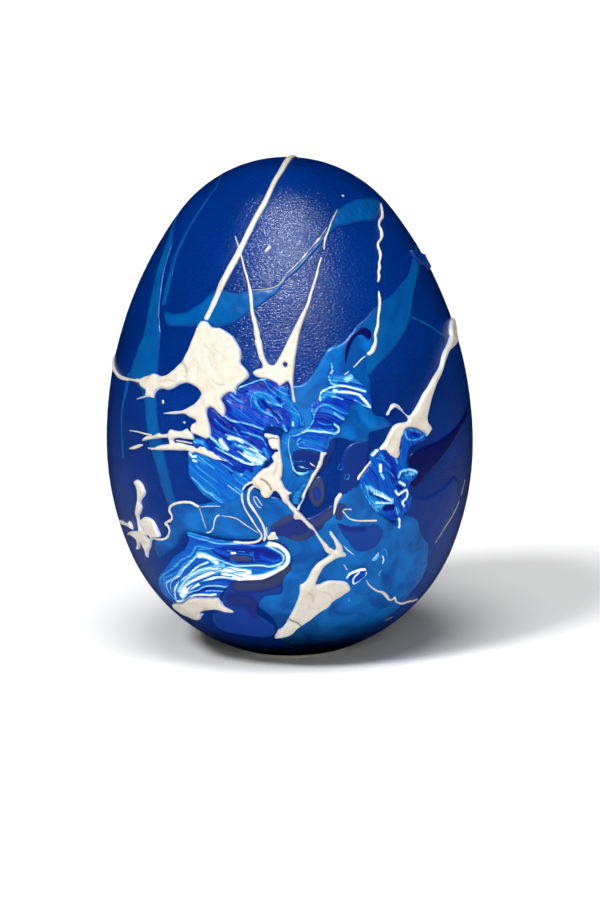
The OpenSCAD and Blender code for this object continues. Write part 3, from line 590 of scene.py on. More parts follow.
stain_thickness = 0.12
stains = [
    film([(-2.7, 19.4), (-1.5, 20.3), (-0.2, 21), (1, 20.6), (1.9, 20.2), (3, 20.6), (4.9, 21.6),
          (4.8, 20.2), (3.9, 19.3), (3.5, 18.6), (2.7, 18), (1.6, 17.3), (0.4, 17.3), (-1, 17.8),
          (-2.4, 18.2)], stain_thickness, rim=0.3, step=0.25, wave=0.01, base=0.6,
         strokes=[(0.95, 1.1, 0, [(-2.5, 19.4), (-1.2, 19.9), (0.2, 20.6)]),
                  (0.95, 1.2, 0, [(2.2, 19.4), (3.4, 19.8), (4.7, 20.8)]),
                  (0.9, 0.9, 0, [(0.2, 17.8), (1.2, 17.8), (2.2, 18.4)])]),
    film([(-7.3, 12.3), (-5.4, 12.5), (-3.5, 12.6), (-1.8, 13.4), (-0.8, 14.1), (0.4, 14.2), (-0.1, 13.5),
          (-0.8, 13), (-1.2, 11.6), (-1.3, 10.7), (-3.4, 10.2), (-4.1, 8.7), (-4.2, 7.6), (-3, 6.6),
          (-2.2, 5.6), (-2.6, 4.4), (-6, 4.2), (-9, 5), (-9.6, 7), (-8.4, 8.2), (-8.4, 9.6), (-8, 11)],
         stain_thickness, rim=0.3, step=0.3, wave=0.01, base=0.32,
         strokes=[(0.95, 2.2, 0, [(-6.4, 11.6), (-4, 11.8), (-1.8, 12.6), (-0.2, 14)]),
                  (0.6, 2.4, 0, [(-7, 9.6), (-5, 9.4), (-4.6, 8)])]),
    film([(5.2, 19.6), (6.8, 19.2), (8.4, 19), (10.2, 18.9), (10.9, 17.6), (10.4, 16.4), (9.4, 15.6),
          (7.6, 15.5), (6.4, 16.9), (5.6, 18.2)], stain_thickness, rim=0.3, step=0.25, wave=0.01, base=0.3,
         strokes=[(0.5, 0.9, 0, [(5.6, 19.3), (6.6, 18.6), (8.4, 18.4)])]),
    film([(2.4, 22.2), (2.1, 23.1), (2.3, 24.2), (2.8, 25), (3.5, 25.2), (3.9, 24.4), (4, 23.2), (3.7, 22),
          (3, 21.5)], stain_thickness, rim=0.25, step=0.2, wave=0.01, base=0.95,
         strokes=[(0.3, 1.1, 0, [(3, 23.6), (3.1, 22.8)])]),
    film([(4.9, 20.9), (5.2, 21.9), (5.9, 22), (6.6, 21.4), (6.2, 20.9), (6.2, 20.2), (5.9, 19.6),
          (5.2, 19.8)], stain_thickness, rim=0.25, step=0.2, wave=0.01, base=0.75)
]
# Weaker washes of the same mix, nearly the blue of the ground
stains += [
    film([(0.3, 28.4), (1.4, 28.6), (2.8, 28.3), (4.2, 28.4), (4.6, 29.6), (5.4, 29.8), (5.5, 28.6),
          (4.8, 27.4), (4, 26.2), (3.2, 25.6), (2.4, 25.9), (1.4, 25.2), (0.5, 25.3), (0.2, 26.4)],
         stain_thickness, rim=0.3, step=0.25, wave=0.01, base=0.12),
    film([(5.9, 21.6), (5.7, 23.4), (5.8, 25.2), (5.9, 26.8), (6.5, 28.2), (7.6, 28.9), (9.2, 28.9),
          (9.2, 27.2), (8.6, 25.6), (8, 24), (8.4, 22.8), (9, 21.6), (8.2, 20.4), (6.8, 20.6)], thick=0.08,
         rim=0.4, step=0.3, wave=0.01, base=0.16),
    film([(13.4, 19.4), (14.3, 21.5), (16, 21.1), (18, 21.7), (19.6, 22.6), (20, 20.6), (19.4, 18.4),
          (18.2, 16.4), (17, 14.6), (16.2, 13.2), (15.6, 14.6), (15, 16.8), (14.4, 18.6)], thick=0.08,
         rim=0.4, step=0.3, wave=0.01, base=0.18)
]
make_piece("violet_stain_group", stains, violet_paint, "violet_stains")

hook = [(6.6, 37.8), (6.45, 38.7), (6.5, 39.6), (6.8, 40.5), (7.4, 41.3), (8.2, 41.8), (9, 41.95),
        (9.75, 41.5), (9.9, 41.05), (9.8, 40.5), (9.3, 40.4), (8.9, 40.8), (8.4, 41), (7.8, 40.6),
        (7.25, 39.55), (6.95, 38.5)]
make_piece("navy_hook_bent", [film(hook, thick=0.13, rim=0.3, step=0.15, wave=0.01)], violet_paint,
           "navy_hook")

flank = [(14, 24.8), (14.2, 26.6), (15.5, 27.2), (17.3, 27.5), (19, 28.1), (20.4, 29), (21.5, 30.2),
         (21.3, 29), (20.2, 27.7), (18.9, 26.2), (17.6, 25), (16.1, 23.8), (15.2, 22.9), (14.4, 22.8),
         (14.1, 23.8)]
make_piece("navy_streak_flank", [film(flank, thick=0.1, rim=0.3, step=0.2, wave=0.01, base=0)], violet_paint,
           "navy_streak_right")

# ---- Poured whites ----
# Warm white fluid acrylic thrown and poured from a height, so that it landed as fat blobs drawn
# out into threads. It stands up to half a millimetre proud, rounds off at its edges and traps bubbles.

# Fluid acrylic: cream white, smooth and glossy; thin edges let blue through, and its creases, dents and
# cracks are painted grey-navy as shade
cream, tree, out = new_material("poured_cream_acrylic")
place = add(tree, "TexCoord", {}).outputs["Object"]
body = add(tree, "Attribute", {}, attribute_name="body").outputs["Fac"]
cover = add(tree, "ValToRGB", {"Fac": body})
cover.color_ramp.elements[0].position = 0.0
cover.color_ramp.elements[0].color = linear("b3c6e4")
cover.color_ramp.elements[1].position = 0.45
cover.color_ramp.elements[1].color = linear("d1cabc")
stain = add(tree, "TexNoise", {"Vector": place, "Scale": 1 / (1.8 * MM), "Detail": 4.0, "Roughness": 0.6})
mottle = add(tree, "ValToRGB", {"Fac": stain.outputs["Fac"]})
mottle.color_ramp.elements[0].position = 0.3
mottle.color_ramp.elements[0].color = linear("f0eae0")
mottle.color_ramp.elements[1].position = 0.5
mottle.color_ramp.elements[1].color = linear("ffffff")
white = add(tree, "Mix", {"Factor": 1.0}, data_type="RGBA", blend_type="MULTIPLY")
tree.links.new(cover.outputs["Color"], white.inputs["A"])
tree.links.new(mottle.outputs["Color"], white.inputs["B"])
# Painted shade: a stroke's tone mixes the white towards grey-navy in creases, dents and cracks
crease_shade = add(tree, "Attribute", {}, attribute_name="tone").outputs["Fac"]
colour = add(tree, "Mix", {"Factor": crease_shade, "B": linear("39415c")}, data_type="RGBA")
tree.links.new(white.outputs["Result"], colour.inputs["A"])
wrinkle = add(tree, "TexNoise", {"Vector": place, "Scale": 1 / (0.8 * MM), "Detail": 4.0, "Distortion": 1.0})
tooth = add(tree, "Bump", {"Height": wrinkle.outputs["Fac"], "Distance": 0.12 * MM})
bsdf = add(tree, "BsdfPrincipled",
           {"Base Color": colour.outputs["Result"], "Roughness": 0.3, "Subsurface Weight": 0.08,
            "Subsurface Scale": 0.2 * MM, "Subsurface Radius": (1.0, 0.95, 0.9),
            "Normal": tooth.outputs["Normal"]})
tree.links.new(bsdf.outputs["BSDF"], out.inputs["Surface"])

# The long streak, from the left pour up over the crown and a little way down the far side
streak_front = seen([(-9.6, 43, 0.8), (-9.05, 44, 0.7), (-8.55, 45, 0.77), (-8.08, 46, 0.72),
                     (-7.65, 47, 0.9), (-7.1, 48, 0.85), (-6.52, 49, 0.9), (-5.9, 50, 0.85),
                     (-5.35, 51, 0.8), (-4.8, 52, 0.7), (-4.25, 53, 0.78), (-3.7, 54, 0.7),
                     (-3.08, 55, 0.74), (-2.4, 56, 0.7)])
streak_crown = [(-1.75, -8.9, 57, 0.65), (-1.15, -7.3, 58, 0.65), (-0.42, -5.4, 59, 0.72),
                (0.2, -2.8, 59.8, 0.75), (0.7, 0, 60, 0.75), (1.7, 6, 58.8, 0.65), (2.6, 10.6, 55.8, 0.35)]
streak = np.vstack([np.column_stack([lay(streak_front) / MM, streak_front[:, 2]]), streak_crown])
make_piece("white_streak_over_crown", [sweep(smooth_line(streak, False, 0.15), thick=0.24)], cream,
           "white_streak_top")

# The big left pour, with its legs, its bays and the thread that leads away from it to the left
left_pour = [
    (-10.5, 42.35), (-10, 42.9), (-9.45, 42.9), (-8.8, 42.3), (-7.95, 42.25), (-7.1, 41.85), (-6.4, 41.35),
    (-5.9, 40.65), (-5.5, 39.85), (-5.45, 39.1), (-5.55, 38.5), (-5.2, 38), (-4.75, 37.5), (-4.6, 36.9),
    (-5.15, 36.4), (-5.85, 35.85), (-6.1, 35.35), (-6.15, 34.95), (-6.95, 35), (-7.85, 34.2), (-7.4, 33.3),
    (-7.5, 32.4), (-7.65, 32.1), (-8.2, 32.5), (-9.05, 33.2), (-9.5, 33), (-9.6, 32.3), (-9.4, 31.6),
    (-9.2, 30.57), (-9.2, 29.8), (-9.65, 29.45), (-10.25, 29.65), (-10.9, 29.9), (-11.5, 30.1),
    (-11.5, 30.98), (-10.85, 31.5), (-11.7, 31.9), (-12.3, 32.2), (-13.4, 32.05), (-14.85, 31.95),
    (-13.7, 32.35), (-12.55, 32.6), (-11.5, 33.2), (-10.95, 33.6), (-10.25, 34.7), (-10.65, 35.3),
    (-11.3, 35.65), (-12.05, 35.8), (-12.9, 35.45), (-13.6, 35), (-14.2, 34.75), (-14.8, 34.8),
    (-15.3, 34.65), (-15.8, 34), (-15.9, 33.6), (-16.5, 33.55), (-18.1, 33), (-17.35, 33.5), (-16.85, 33.75),
    (-16.75, 34.15), (-17.3, 34.5), (-17.6, 34.85), (-18.2, 35), (-18.2, 35.25), (-17.5, 35.5),
    (-16.9, 35.85), (-16.3, 36.15), (-15.8, 36.4), (-15.05, 36.2), (-14.3, 36.45), (-13.7, 36.9),
    (-13, 37.6), (-12.35, 38.3), (-11.85, 39.15), (-11.5, 39.95), (-11.1, 40.8), (-10.85, 41.45)
]
make_piece("white_pour_left_blob",
           [film(left_pour, thick=0.42, rim=0.45, step=0.15, wave=0.08,
                 strokes=[(0.35, 0.5, -0.05, [(-12.3, 38), (-11.9, 37.6), (-11.8, 37.1)]),
                          (0.22, 0.3, -0.04, [(-9.6, 40.2), (-9.1, 39.6), (-9.2, 38.8), (-8.8, 38)]),
                          (0.2, 0.25, -0.04, [(-8.4, 39.8), (-7.8, 39.4), (-7.4, 38.8)]),
                          (0.2, 0.25, -0.04, [(-10.8, 38.6), (-10.4, 37.9), (-10.5, 37.2)]),
                          (0.3, 0.22, -0.05, [(-8.9, 36.4), (-8.2, 35.9), (-7.4, 35.9)]),
                          (0.3, 0.22, -0.05, [(-14.9, 35.6), (-13.9, 35.9), (-13.2, 35.8)])],
                 pits=[(-11.4, 37.2, 0.9, 0.07), (-9.2, 38.6, 1.3, 0.06), (-7.2, 37.6, 1, 0.07),
                       (-11, 31, 0.35, 0.2), (-8.6, 35.4, 0.8, 0.08), (-12.9, 35.9, 0.5, 0.08)]),
            strand([(-10.4, 30.75), (-9.8, 30.2), (-9.4, 29.9)], thick=0.3, width=0.25)], cream,
           "white_pour_left")
thread_front = seen([(-17.6, 35.25, 0.35), (-18.4, 35.1, 0.28), (-19.2, 35.02, 0.24), (-20, 34.9, 0.26)])
thread_side = around([(-64, 34.95, 0.35), (-72, 34.9, 0.5), (-82, 35.3, 0.55), (-95, 36, 0.5),
                      (-108, 35.6, 0.4), (-118, 34.4, 0.25)])
make_piece("white_thread_left_run",
           [strand(np.vstack([thread_front, thread_side]), thick=0.24, chart=np.array)], cream,
           "white_thread_left")

# Two ragged bands splashed leftwards from the knife work, bridged once, with a bubble hole
upper_band = [
    (-17.45, 28.3), (-16.95, 28.95), (-16.1, 29.2), (-15.4, 29.6), (-15.1, 29.5), (-14.3, 29.75),
    (-14.05, 30.2), (-13.45, 30.15), (-12.85, 30.15), (-12.35, 30.35), (-12, 30.55), (-11.8, 30.3),
    (-11.35, 30), (-11.2, 29.35), (-11.8, 29.3), (-12.4, 29.3), (-13, 29.35), (-13.6, 29.1), (-13.55, 28.75),
    (-13, 28.8), (-12.15, 28.65), (-11.1, 28.5), (-10.8, 28.4), (-10.5, 28.7), (-9.9, 28.65), (-9.45, 28.4),
    (-8.85, 28.1), (-8.25, 27.7), (-7.7, 27.4), (-6.85, 27.2), (-5.9, 27.15), (-4.7, 27), (-5.9, 26.95),
    (-8.3, 27.05), (-8.85, 27.15), (-9.5, 27.4), (-10.65, 27.75), (-11.25, 27.8), (-11.4, 27.6),
    (-11.85, 27.9), (-13.05, 27.85), (-14.25, 27.75), (-15.4, 27.55), (-16.65, 27.5), (-16.85, 27.6),
    (-15.9, 27.85), (-15.4, 28.15), (-14.55, 28.4), (-14.1, 28.6), (-14.2, 29.1), (-14.9, 29.1),
    (-15.75, 28.85), (-16.6, 28.6)
]
splash = [
    film(upper_band, thick=0.4, rim=0.35, step=0.14, wave=0.05,
         pits=[(-13.2, 28.9, 0.2, 0.3), (-9.6, 28, 0.3, 0.1)]),
    strand([(-19, 29.15, 0.1), (-18, 29.25, 0.16), (-16.9, 29.2, 0.2), (-16.2, 29.2, 0.3)], thick=0.12),
    strand([(-19.05, 27, 0.15), (-18.5, 27.25, 0.4), (-17.9, 27.6, 0.4), (-17.4, 27.85, 0.15)], thick=0.1),
    strand([(-13.4, 29, 0.15), (-12.4, 28.95, 0.2), (-11.4, 28.85, 0.15)], thick=0.2)
]
make_piece("white_splash_left_bands", splash, cream, "white_splash_left")

# The V in the middle: two threads fall together into a blob with a burst bubble, and one drips out
v_blob = [
    (-3.85, 41), (-3.65, 40), (-3.4, 39), (-3.05, 38.3), (-3.05, 37.95), (-3.65, 37.75), (-4.15, 37.4),
    (-3.9, 36.95), (-2.85, 36.65), (-2.15, 36.5), (-1.45, 36.15), (-1.05, 35.8), (-0.5, 36.1), (-0.1, 36.35),
    (0.15, 35.9), (0.3, 35), (0.45, 33.95), (0.75, 33.9), (0.65, 35), (0.55, 35.9), (0.6, 36.9), (0.75, 38),
    (0.85, 39), (1.05, 40), (1.25, 41), (1.5, 42), (1.85, 43), (2.2, 44), (1.75, 44), (1.1, 43), (0.55, 42),
    (0, 41), (-0.55, 40), (-1.1, 39), (-1.6, 38.3), (-1.85, 38.2), (-2.2, 38.3), (-2.65, 39), (-2.9, 40),
    (-3.1, 41)
]
bubble = [(-0.35 + 0.24 * math.cos(a), 38.25 + 0.26 * math.sin(a)) for a in np.linspace(0, 5.5, 9)]
make_piece("white_pour_centre_vee",
           [film(v_blob, thick=0.35, rim=0.35, step=0.13, holes=[bubble], wave=0.03,
                 pits=[(-0.95, 38.6, 0.2, 0.12), (0.6, 41.4, 0.2, 0.08), (-2.15, 37.5, 0.3, 0.08)]),
            strand([(-5.95, 52.4, 0.1), (-5.6, 51.3, 0.15), (-5.2, 50, 0.2), (-4.95, 49, 0.24),
                    (-4.65, 48, 0.26), (-4.4, 47, 0.3), (-4.22, 46, 0.44), (-4.15, 45, 0.42),
                    (-4.07, 44, 0.46), (-3.8, 43, 0.52), (-3.62, 42, 0.64), (-3.47, 41, 0.74),
                    (-3.3, 40.3, 0.7)]),
            strand([(6.15, 54.95, 0.1), (5.5, 53.9, 0.16), (5.05, 52.85, 0.2), (4.6, 51.85, 0.22),
                    (4.45, 50.8, 0.14)], thick=0.12),
            strand([(4.15, 50.05, 0.14), (3.8, 49.1, 0.24), (3.5, 48, 0.3), (3.15, 47, 0.3),
                    (2.78, 46, 0.34), (2.47, 45, 0.36), (1.97, 44, 0.46), (1.5, 43, 0.7)])], cream,
           "white_pour_centre")

# The beaded thread on the right, broken once
make_piece("white_thread_right_beaded",
           [strand([(11.4, 54.7, 0.2), (11.5, 54.1, 0.35), (11.5, 53.4, 0.4), (11.2, 53.1, 0.3),
                    (11.1, 52.6, 0.3), (11.35, 51.95, 0.5), (11.3, 51.3, 0.35), (10.9, 50.8, 0.35),
                    (10.9, 50.4, 0.35), (11.1, 49.85, 0.45), (11.1, 49.2, 0.3), (10.95, 48.7, 0.3),
                    (11, 48.25, 0.4), (10.85, 47.8, 0.3), (10.9, 47.3, 0.35), (10.75, 46.7, 0.2)]),
            strand([(10.8, 45.75, 0.15), (10.85, 45.2, 0.32), (10.9, 44.4, 0.4), (10.8, 43.6, 0.38),
                    (10.65, 42.85, 0.35), (10.6, 42.05, 0.4), (10.4, 41.4, 0.45), (10.25, 40.9, 0.4),
                    (10.3, 40.35, 0.45), (10.1, 39.65, 0.55), (9.75, 39.1, 0.6), (9.2, 38.85, 0.3)]),
            strand([(9.1, 38.75, 0.14), (8.6, 38.45, 0.22), (7.9, 37.8, 0.2), (7.5, 37.5, 0.12)]),
            strand([(7.1, 37.2, 0.14), (6.2, 36.6, 0.2), (5.5, 36.2, 0.14)])], cream,
           "white_thread_right")

# The right pour: a spear down from the flank, a hooked thread, and a broad foot on the knife work
right_pour = [
    (19.8, 39.6), (19.3, 38.8), (18.95, 38.2), (18.3, 37.3), (17.9, 36.1), (17.1, 35.1), (16.2, 33.9),
    (15.85, 33.55), (15.25, 32.6), (14.65, 31.75), (14.2, 31.3), (13.95, 31.3), (13.35, 31.95), (12.9, 32.6),
    (12.4, 32.95), (11.95, 32.85), (11.65, 32.3), (11.35, 31.75), (11.6, 31.65), (11.8, 32.05),
    (12.2, 32.35), (12.5, 32.45), (12.9, 32.15), (13.5, 31.6), (13.9, 31.05), (13.9, 30.7), (13.45, 30.57),
    (12.85, 30.6), (12.25, 30.4), (11.9, 30), (11.5, 29.35), (11.15, 28.7), (10.65, 28.15), (10.15, 27.55),
    (10.75, 27.65), (11.1, 27.55), (11.45, 27.1), (11.9, 26.65), (12.05, 26.4), (12.4, 26.35), (12.6, 26.55),
    (12.8, 26.9), (12.8, 27.6), (12.9, 28.3), (13.05, 28.9), (13.35, 29.3), (13.4, 29.7), (13.7, 29.8),
    (14.2, 29.85), (14.7, 29.65), (15.3, 29.3), (15.8, 28.95), (16, 28.7), (16.1, 28.45), (16.4, 28.75),
    (16.7, 29.2), (16.55, 29.7), (16.25, 30.1), (16.2, 30.5), (16.35, 31.3), (16.6, 32.2), (16.9, 33.1),
    (17.4, 34.2), (18, 35.15), (18.5, 36.3), (19.05, 37.3), (19.9, 37.6), (20.2, 38.2), (20, 38.7)
]
far_spur = [(73, 38.3), (75, 39.6), (79, 40.2), (86, 40.4), (92, 39.8), (86, 39.2), (80, 38.2), (76, 37.6)]
make_piece("white_pour_right_spear",
           [film(right_pour, thick=0.42, rim=0.4, step=0.15, wave=0.04,
                 pits=[(12, 28.6, 0.7, 0.06), (15, 30.2, 0.5, 0.06)]),
            film(far_spur, thick=0.4, rim=0.4, step=0.15, chart=around)], cream,
           "white_pour_right")

# The spine down the front, with a bubble notch near its top and a crease at its shoulder, both painted dark
# grey as shade
spine = [
    (-2.95, 30.38), (-2.5, 30.4), (-1.9, 30.25), (-1.3, 30.1), (-1.15, 29.7), (-1.1, 28.5), (-1, 27.9),
    (-0.95, 27.3), (-0.85, 26.7), (-0.9, 26), (-0.95, 25.4), (-1.1, 25.05), (-0.9, 24.6), (-0.65, 24),
    (-0.3, 23.6), (0.2, 23.35), (-0.2, 23.1), (-0.2, 22.8), (-0.1, 22.3), (0.35, 21.7), (0.9, 21.1),
    (1.25, 20.7), (1.75, 20.1), (2.2, 19.65), (2.7, 19), (3.2, 18.1), (3.8, 17.3), (4.15, 16.9), (4.4, 16.5),
    (4.85, 16.2), (4.35, 15.65), (4, 15.85), (3.75, 16.25), (3.55, 16.75), (3.2, 17.35), (2.95, 17.85),
    (2.55, 18.65), (1.95, 19.1), (1.5, 19.65), (1.15, 20), (0.9, 20.1), (0.45, 20.1), (0.2, 20.4),
    (0.25, 20.85), (-0.1, 21.35), (-0.55, 21.95), (-1, 22.4), (-1.15, 22.8), (-1.45, 23.3), (-1.8, 23.6),
    (-2.05, 23.5), (-2.25, 23.15), (-2.6, 22.8), (-3.1, 22.8), (-3.45, 23.15), (-3.6, 23.65), (-3.9, 24.1),
    (-4.3, 24.25), (-4.5, 24.5), (-4.45, 25), (-4.2, 25.3), (-3.85, 25.7), (-3.5, 26), (-3.15, 26.3),
    (-2.65, 26.4), (-2.3, 26.75), (-1.95, 27.1), (-2.1, 27.45), (-2.17, 27.8), (-1.93, 27.95), (-1.75, 28.2),
    (-1.4, 28.3), (-1.45, 28.5), (-1.85, 28.5), (-2.1, 28.6), (-2.3, 28.85), (-2.5, 29.3), (-2.6, 29.8),
    (-2.95, 30)
]
make_piece("white_spine_front",
           [film(spine, thick=0.45, rim=0.35, step=0.12, wave=0.05,
                 strokes=[(0.9, 0.2, -0.1, [(-2.5, 29.7), (-2.1, 29.9), (-1.4, 29.8)]),
                          (0.8, 0.3, -0.1, [(-2, 28.4), (-1.6, 28.5)]),
                          (0.25, 0.3, -0.04, [(-1.5, 27.3), (-1.6, 26.4), (-1.9, 25.6)]),
                          (0.9, 0.24, -0.1, [(-3.4, 25.1), (-3, 24.9), (-2.5, 24.4), (-2.2, 23.8)])],
                 pits=[(-1.55, 27.5, 0.25, 0.08), (-0.55, 22.1, 0.12, 0.15), (-0.3, 21.8, 0.12, 0.15),
                       (-2.4, 25.2, 0.8, 0.06), (-2, 29.4, 0.5, 0.05)])], cream,
           "white_spine")

# A swan's-neck line that loops out of the spine's shoulder and down to the fan
swan_outer = [(-3.25, 23.6), (-3.6, 24.25), (-4.45, 24.6), (-5.2, 24.3), (-5.65, 23.6), (-5.7, 22.6),
              (-5.45, 21.6), (-4.7, 20.25), (-4, 19.05), (-3.5, 18.2), (-3.65, 17.7), (-4.1, 17.35),
              (-5.2, 17.15), (-6.9, 17.2)]
swan_inner = [(-3.6, 23.9), (-4.2, 24.15), (-4.7, 23.8), (-4.95, 23.1), (-4.9, 22.2), (-4.5, 21.5),
              (-3.85, 20.5), (-3.35, 19.5), (-3.1, 18.6), (-3.1, 17.9), (-3.3, 17.4)]
make_piece("white_swan_neck",
           [strand(swan_outer, width=0.3), strand(swan_inner, width=0.36),
            strand([(-3.3, 21.75, 0.12), (-3.6, 22.2, 0.14), (-4.1, 22.9, 0.14), (-4.35, 22.8, 0.12),
                    (-4.2, 22.3, 0.14), (-3.8, 21.7, 0.14), (-3.4, 21.55, 0.12)], thick=0.1)], cream,
           "white_swan_line")

# The diagonal line that drops to meet the spine
diagonal = [
    (3.55, 28.1), (3.4, 27.4), (3.15, 26.7), (2.9, 26.1), (2.4, 25.4), (2.05, 24.6), (1.55, 23.6),
    (1.2, 22.8), (1.3, 22.55), (1.15, 22.2), (0.8, 21.7), (0.65, 21.2), (0.95, 21.25), (1.1, 21.8),
    (1.4, 22.3), (1.6, 22.65), (1.8, 23.35), (2.3, 24.2), (2.75, 25), (3.1, 25.6), (3.35, 25.95),
    (3.75, 26.65), (4, 27.5), (4.35, 27.95), (3.95, 28.1)
]
make_piece("white_diagonal_line",
           [film(diagonal, thick=0.38, rim=0.3, step=0.12, wave=0.04, pits=[(3.4, 26.6, 0.15, 0.12)]),
            strand([(2.2, 26.95, 0.15), (2.6, 26.6, 0.3), (3, 26.35, 0.3)], thick=0.2)], cream,
           "white_diagonal")

# The base pour: an arm from the spine's foot that swells into a tongue running under the egg
base_pour = [
    (0.85, 11.8), (1.25, 12.05), (1.6, 12.4), (1.95, 13.05), (2.2, 13.6), (2.55, 14.1), (3, 14.6), (3.6, 15),
    (4.2, 15.4), (4.35, 15.65), (4.2, 16.1), (4.85, 16.2), (5.05, 16.1), (5.1, 16.4), (5, 16.85),
    (4.8, 17.4), (4.45, 18.05), (4.45, 18.6), (4.8, 18.3), (5.15, 17.75), (5.55, 17.1), (5.9, 16.6),
    (6.05, 15.95), (6.35, 15.4), (6.25, 15.15), (5.65, 15.1), (5.2, 15), (4.85, 14.8), (4.35, 14.5),
    (3.75, 14), (3.4, 13.5), (3.15, 13), (2.9, 12.35), (2.75, 11.9), (3.15, 11.85), (3.6, 12.05),
    (4.2, 12.2), (4.8, 12.2), (5.5, 12.1), (5.95, 12), (6.3, 11.85), (6.65, 11.4), (6.8, 10.85),
    (6.65, 10.6), (6.05, 10.25), (5.5, 9.8), (4.65, 9.3), (4.4, 8.9), (4.05, 8.5), (3.45, 8.15), (2.5, 7.35),
    (1.9, 6.8), (1.05, 6.15), (0.45, 5.6), (0, 5), (-0.6, 4.55), (-1.35, 4.3), (-2.05, 4.15), (-2.25, 4.25),
    (-2.05, 4.9), (-1.8, 5.4), (-1.2, 6.05), (-0.85, 6.65), (-0.6, 7.2), (-0.25, 7.95), (0.15, 8.85),
    (0.5, 9.8), (0.75, 10.75)
]
make_piece("white_pour_base_tongue",
           [film(base_pour, thick=0.44, rim=0.45, step=0.15, wave=0.04,
                 strokes=[(1, 0.26, -0.12, [(-0.8, 7.35), (-0.3, 7.2), (0.1, 7), (0.45, 6.75), (0.9, 6.3)]),
                          (0.25, 0.3, -0.04, [(1.9, 10.9), (2.4, 10.3), (2.3, 9.6)]),
                          (0.2, 0.25, -0.03, [(3.6, 10.9), (4.3, 10.5), (4.6, 9.9)])],
                 pits=[(6.05, 15.8, 0.15, 0.4), (2.6, 9.8, 1.2, 0.06), (4.8, 10.8, 0.9, 0.05)])], cream,
           "white_pour_base")

# The patch at the foot of the fan, with a torn lower edge
foot_pour = [
    (-14.4, 7.4), (-14.2, 7.7), (-13.7, 8), (-13, 8.3), (-12.6, 8.75), (-12.1, 9.2), (-11.2, 9.45),
    (-10, 9.6), (-8.85, 9.7), (-8.65, 9.35), (-8.4, 9), (-8.1, 8.65), (-7.6, 8.35), (-7, 8), (-7, 7.85),
    (-7.75, 7.75), (-8.35, 7.9), (-9.1, 8), (-9.8, 7.8), (-10.55, 7.55), (-11.15, 7), (-10.7, 6.9),
    (-10.95, 6.5), (-11.1, 6), (-11.5, 5.85), (-12, 6), (-12.6, 6.1), (-13.4, 6.4), (-14, 6.9)
]
make_piece("white_pour_foot_patch", [film(foot_pour, thick=0.4, rim=0.4, step=0.15, wave=0.04)], cream,
           "white_pour_foot")

# A drip, an oval and a spatter at the lower left, run together
drip = [
    (-18.5, 23.1), (-18.25, 23.45), (-17.9, 23.4), (-17.45, 22.9), (-17.2, 22.1), (-17.35, 21.6),
    (-17.6, 21.25), (-17.8, 20.7), (-17.65, 20.1), (-17.8, 19.5), (-18.05, 18.9), (-17.95, 18.2),
    (-17.8, 17.6), (-17.65, 17.3), (-17.45, 17.45), (-17.65, 18), (-17.75, 18.5), (-17.6, 18.8), (-17.2, 19),
    (-16.8, 19), (-16.4, 18.8), (-16.1, 18.4), (-15.8, 17.8), (-15.6, 17.35), (-15.5, 17), (-15.6, 16.75),
    (-16.05, 16.6), (-16.3, 16.45), (-16.65, 15.9), (-16.75, 15.2), (-17, 14.6), (-17.2, 13.45), (-17.3, 14),
    (-17.4, 14.6), (-17.6, 15.05), (-17.95, 15.45), (-18.1, 15), (-18.25, 14.3), (-18.5, 14.35),
    (-18.35, 15), (-18.3, 15.5), (-18.55, 15.75), (-19, 15.9), (-19.6, 15.75), (-19.5, 16.1), (-19.05, 16.5),
    (-18.5, 16.75), (-18.15, 17), (-18.1, 17.6), (-18.25, 18.6), (-18.4, 19.4), (-18.15, 20.85),
    (-18.05, 21.95), (-18.1, 22.4)
]
spatter_hole = [(-16.95 + 0.26 * math.cos(a), 16.5 + 0.27 * math.sin(a)) for a in np.linspace(0, 5.5, 9)]
side_arm = [(-20.7, 16.95), (-20.3, 17.2), (-19.6, 17.3), (-19.35, 17.75), (-19.1, 17.5), (-18.9, 16.8),
            (-19.2, 16.85), (-19.6, 16.95), (-20.2, 16.75)]
make_piece("white_drip_and_spatter",
           [film(drip, thick=0.4, rim=0.3, step=0.13, holes=[spatter_hole], wave=0.04,
                 pits=[(-17.3, 17.1, 0.15, 0.3)]), film(side_arm, thick=0.3, rim=0.3, step=0.12)], cream,
           "white_squiggle_left")

# Fine loops thrown from the spatter, and a loose S beside them
make_piece("white_loops_left",
           [strand([(-16.5, 16.45), (-16.1, 16.4), (-15.25, 16.55), (-14.75, 16.9), (-14.5, 17.45),
                    (-14.4, 18), (-14.6, 18.4), (-14.9, 18.65), (-14.65, 18.9), (-14.2, 19.25),
                    (-14.05, 19.5), (-14.1, 19.9), (-14.35, 20.3), (-14.35, 20.6), (-14.15, 21),
                    (-13.75, 21.3), (-13.1, 21.55), (-12.4, 21.7), (-11.7, 21.7), (-11.1, 21.4),
                    (-10.7, 21.3)], width=0.32),
            strand([(-10.75, 21.2), (-10.5, 20.4), (-10.2, 19.3), (-9.95, 18.6)], thick=0.08, width=0.13),
            strand([(-10.05, 18.2), (-9.6, 18.3), (-9.25, 18.65), (-9.1, 19.15), (-9, 19.7), (-8.8, 20.2),
                    (-8.6, 20.4), (-8.3, 20.5)], width=0.25)], cream, "white_loop_left")

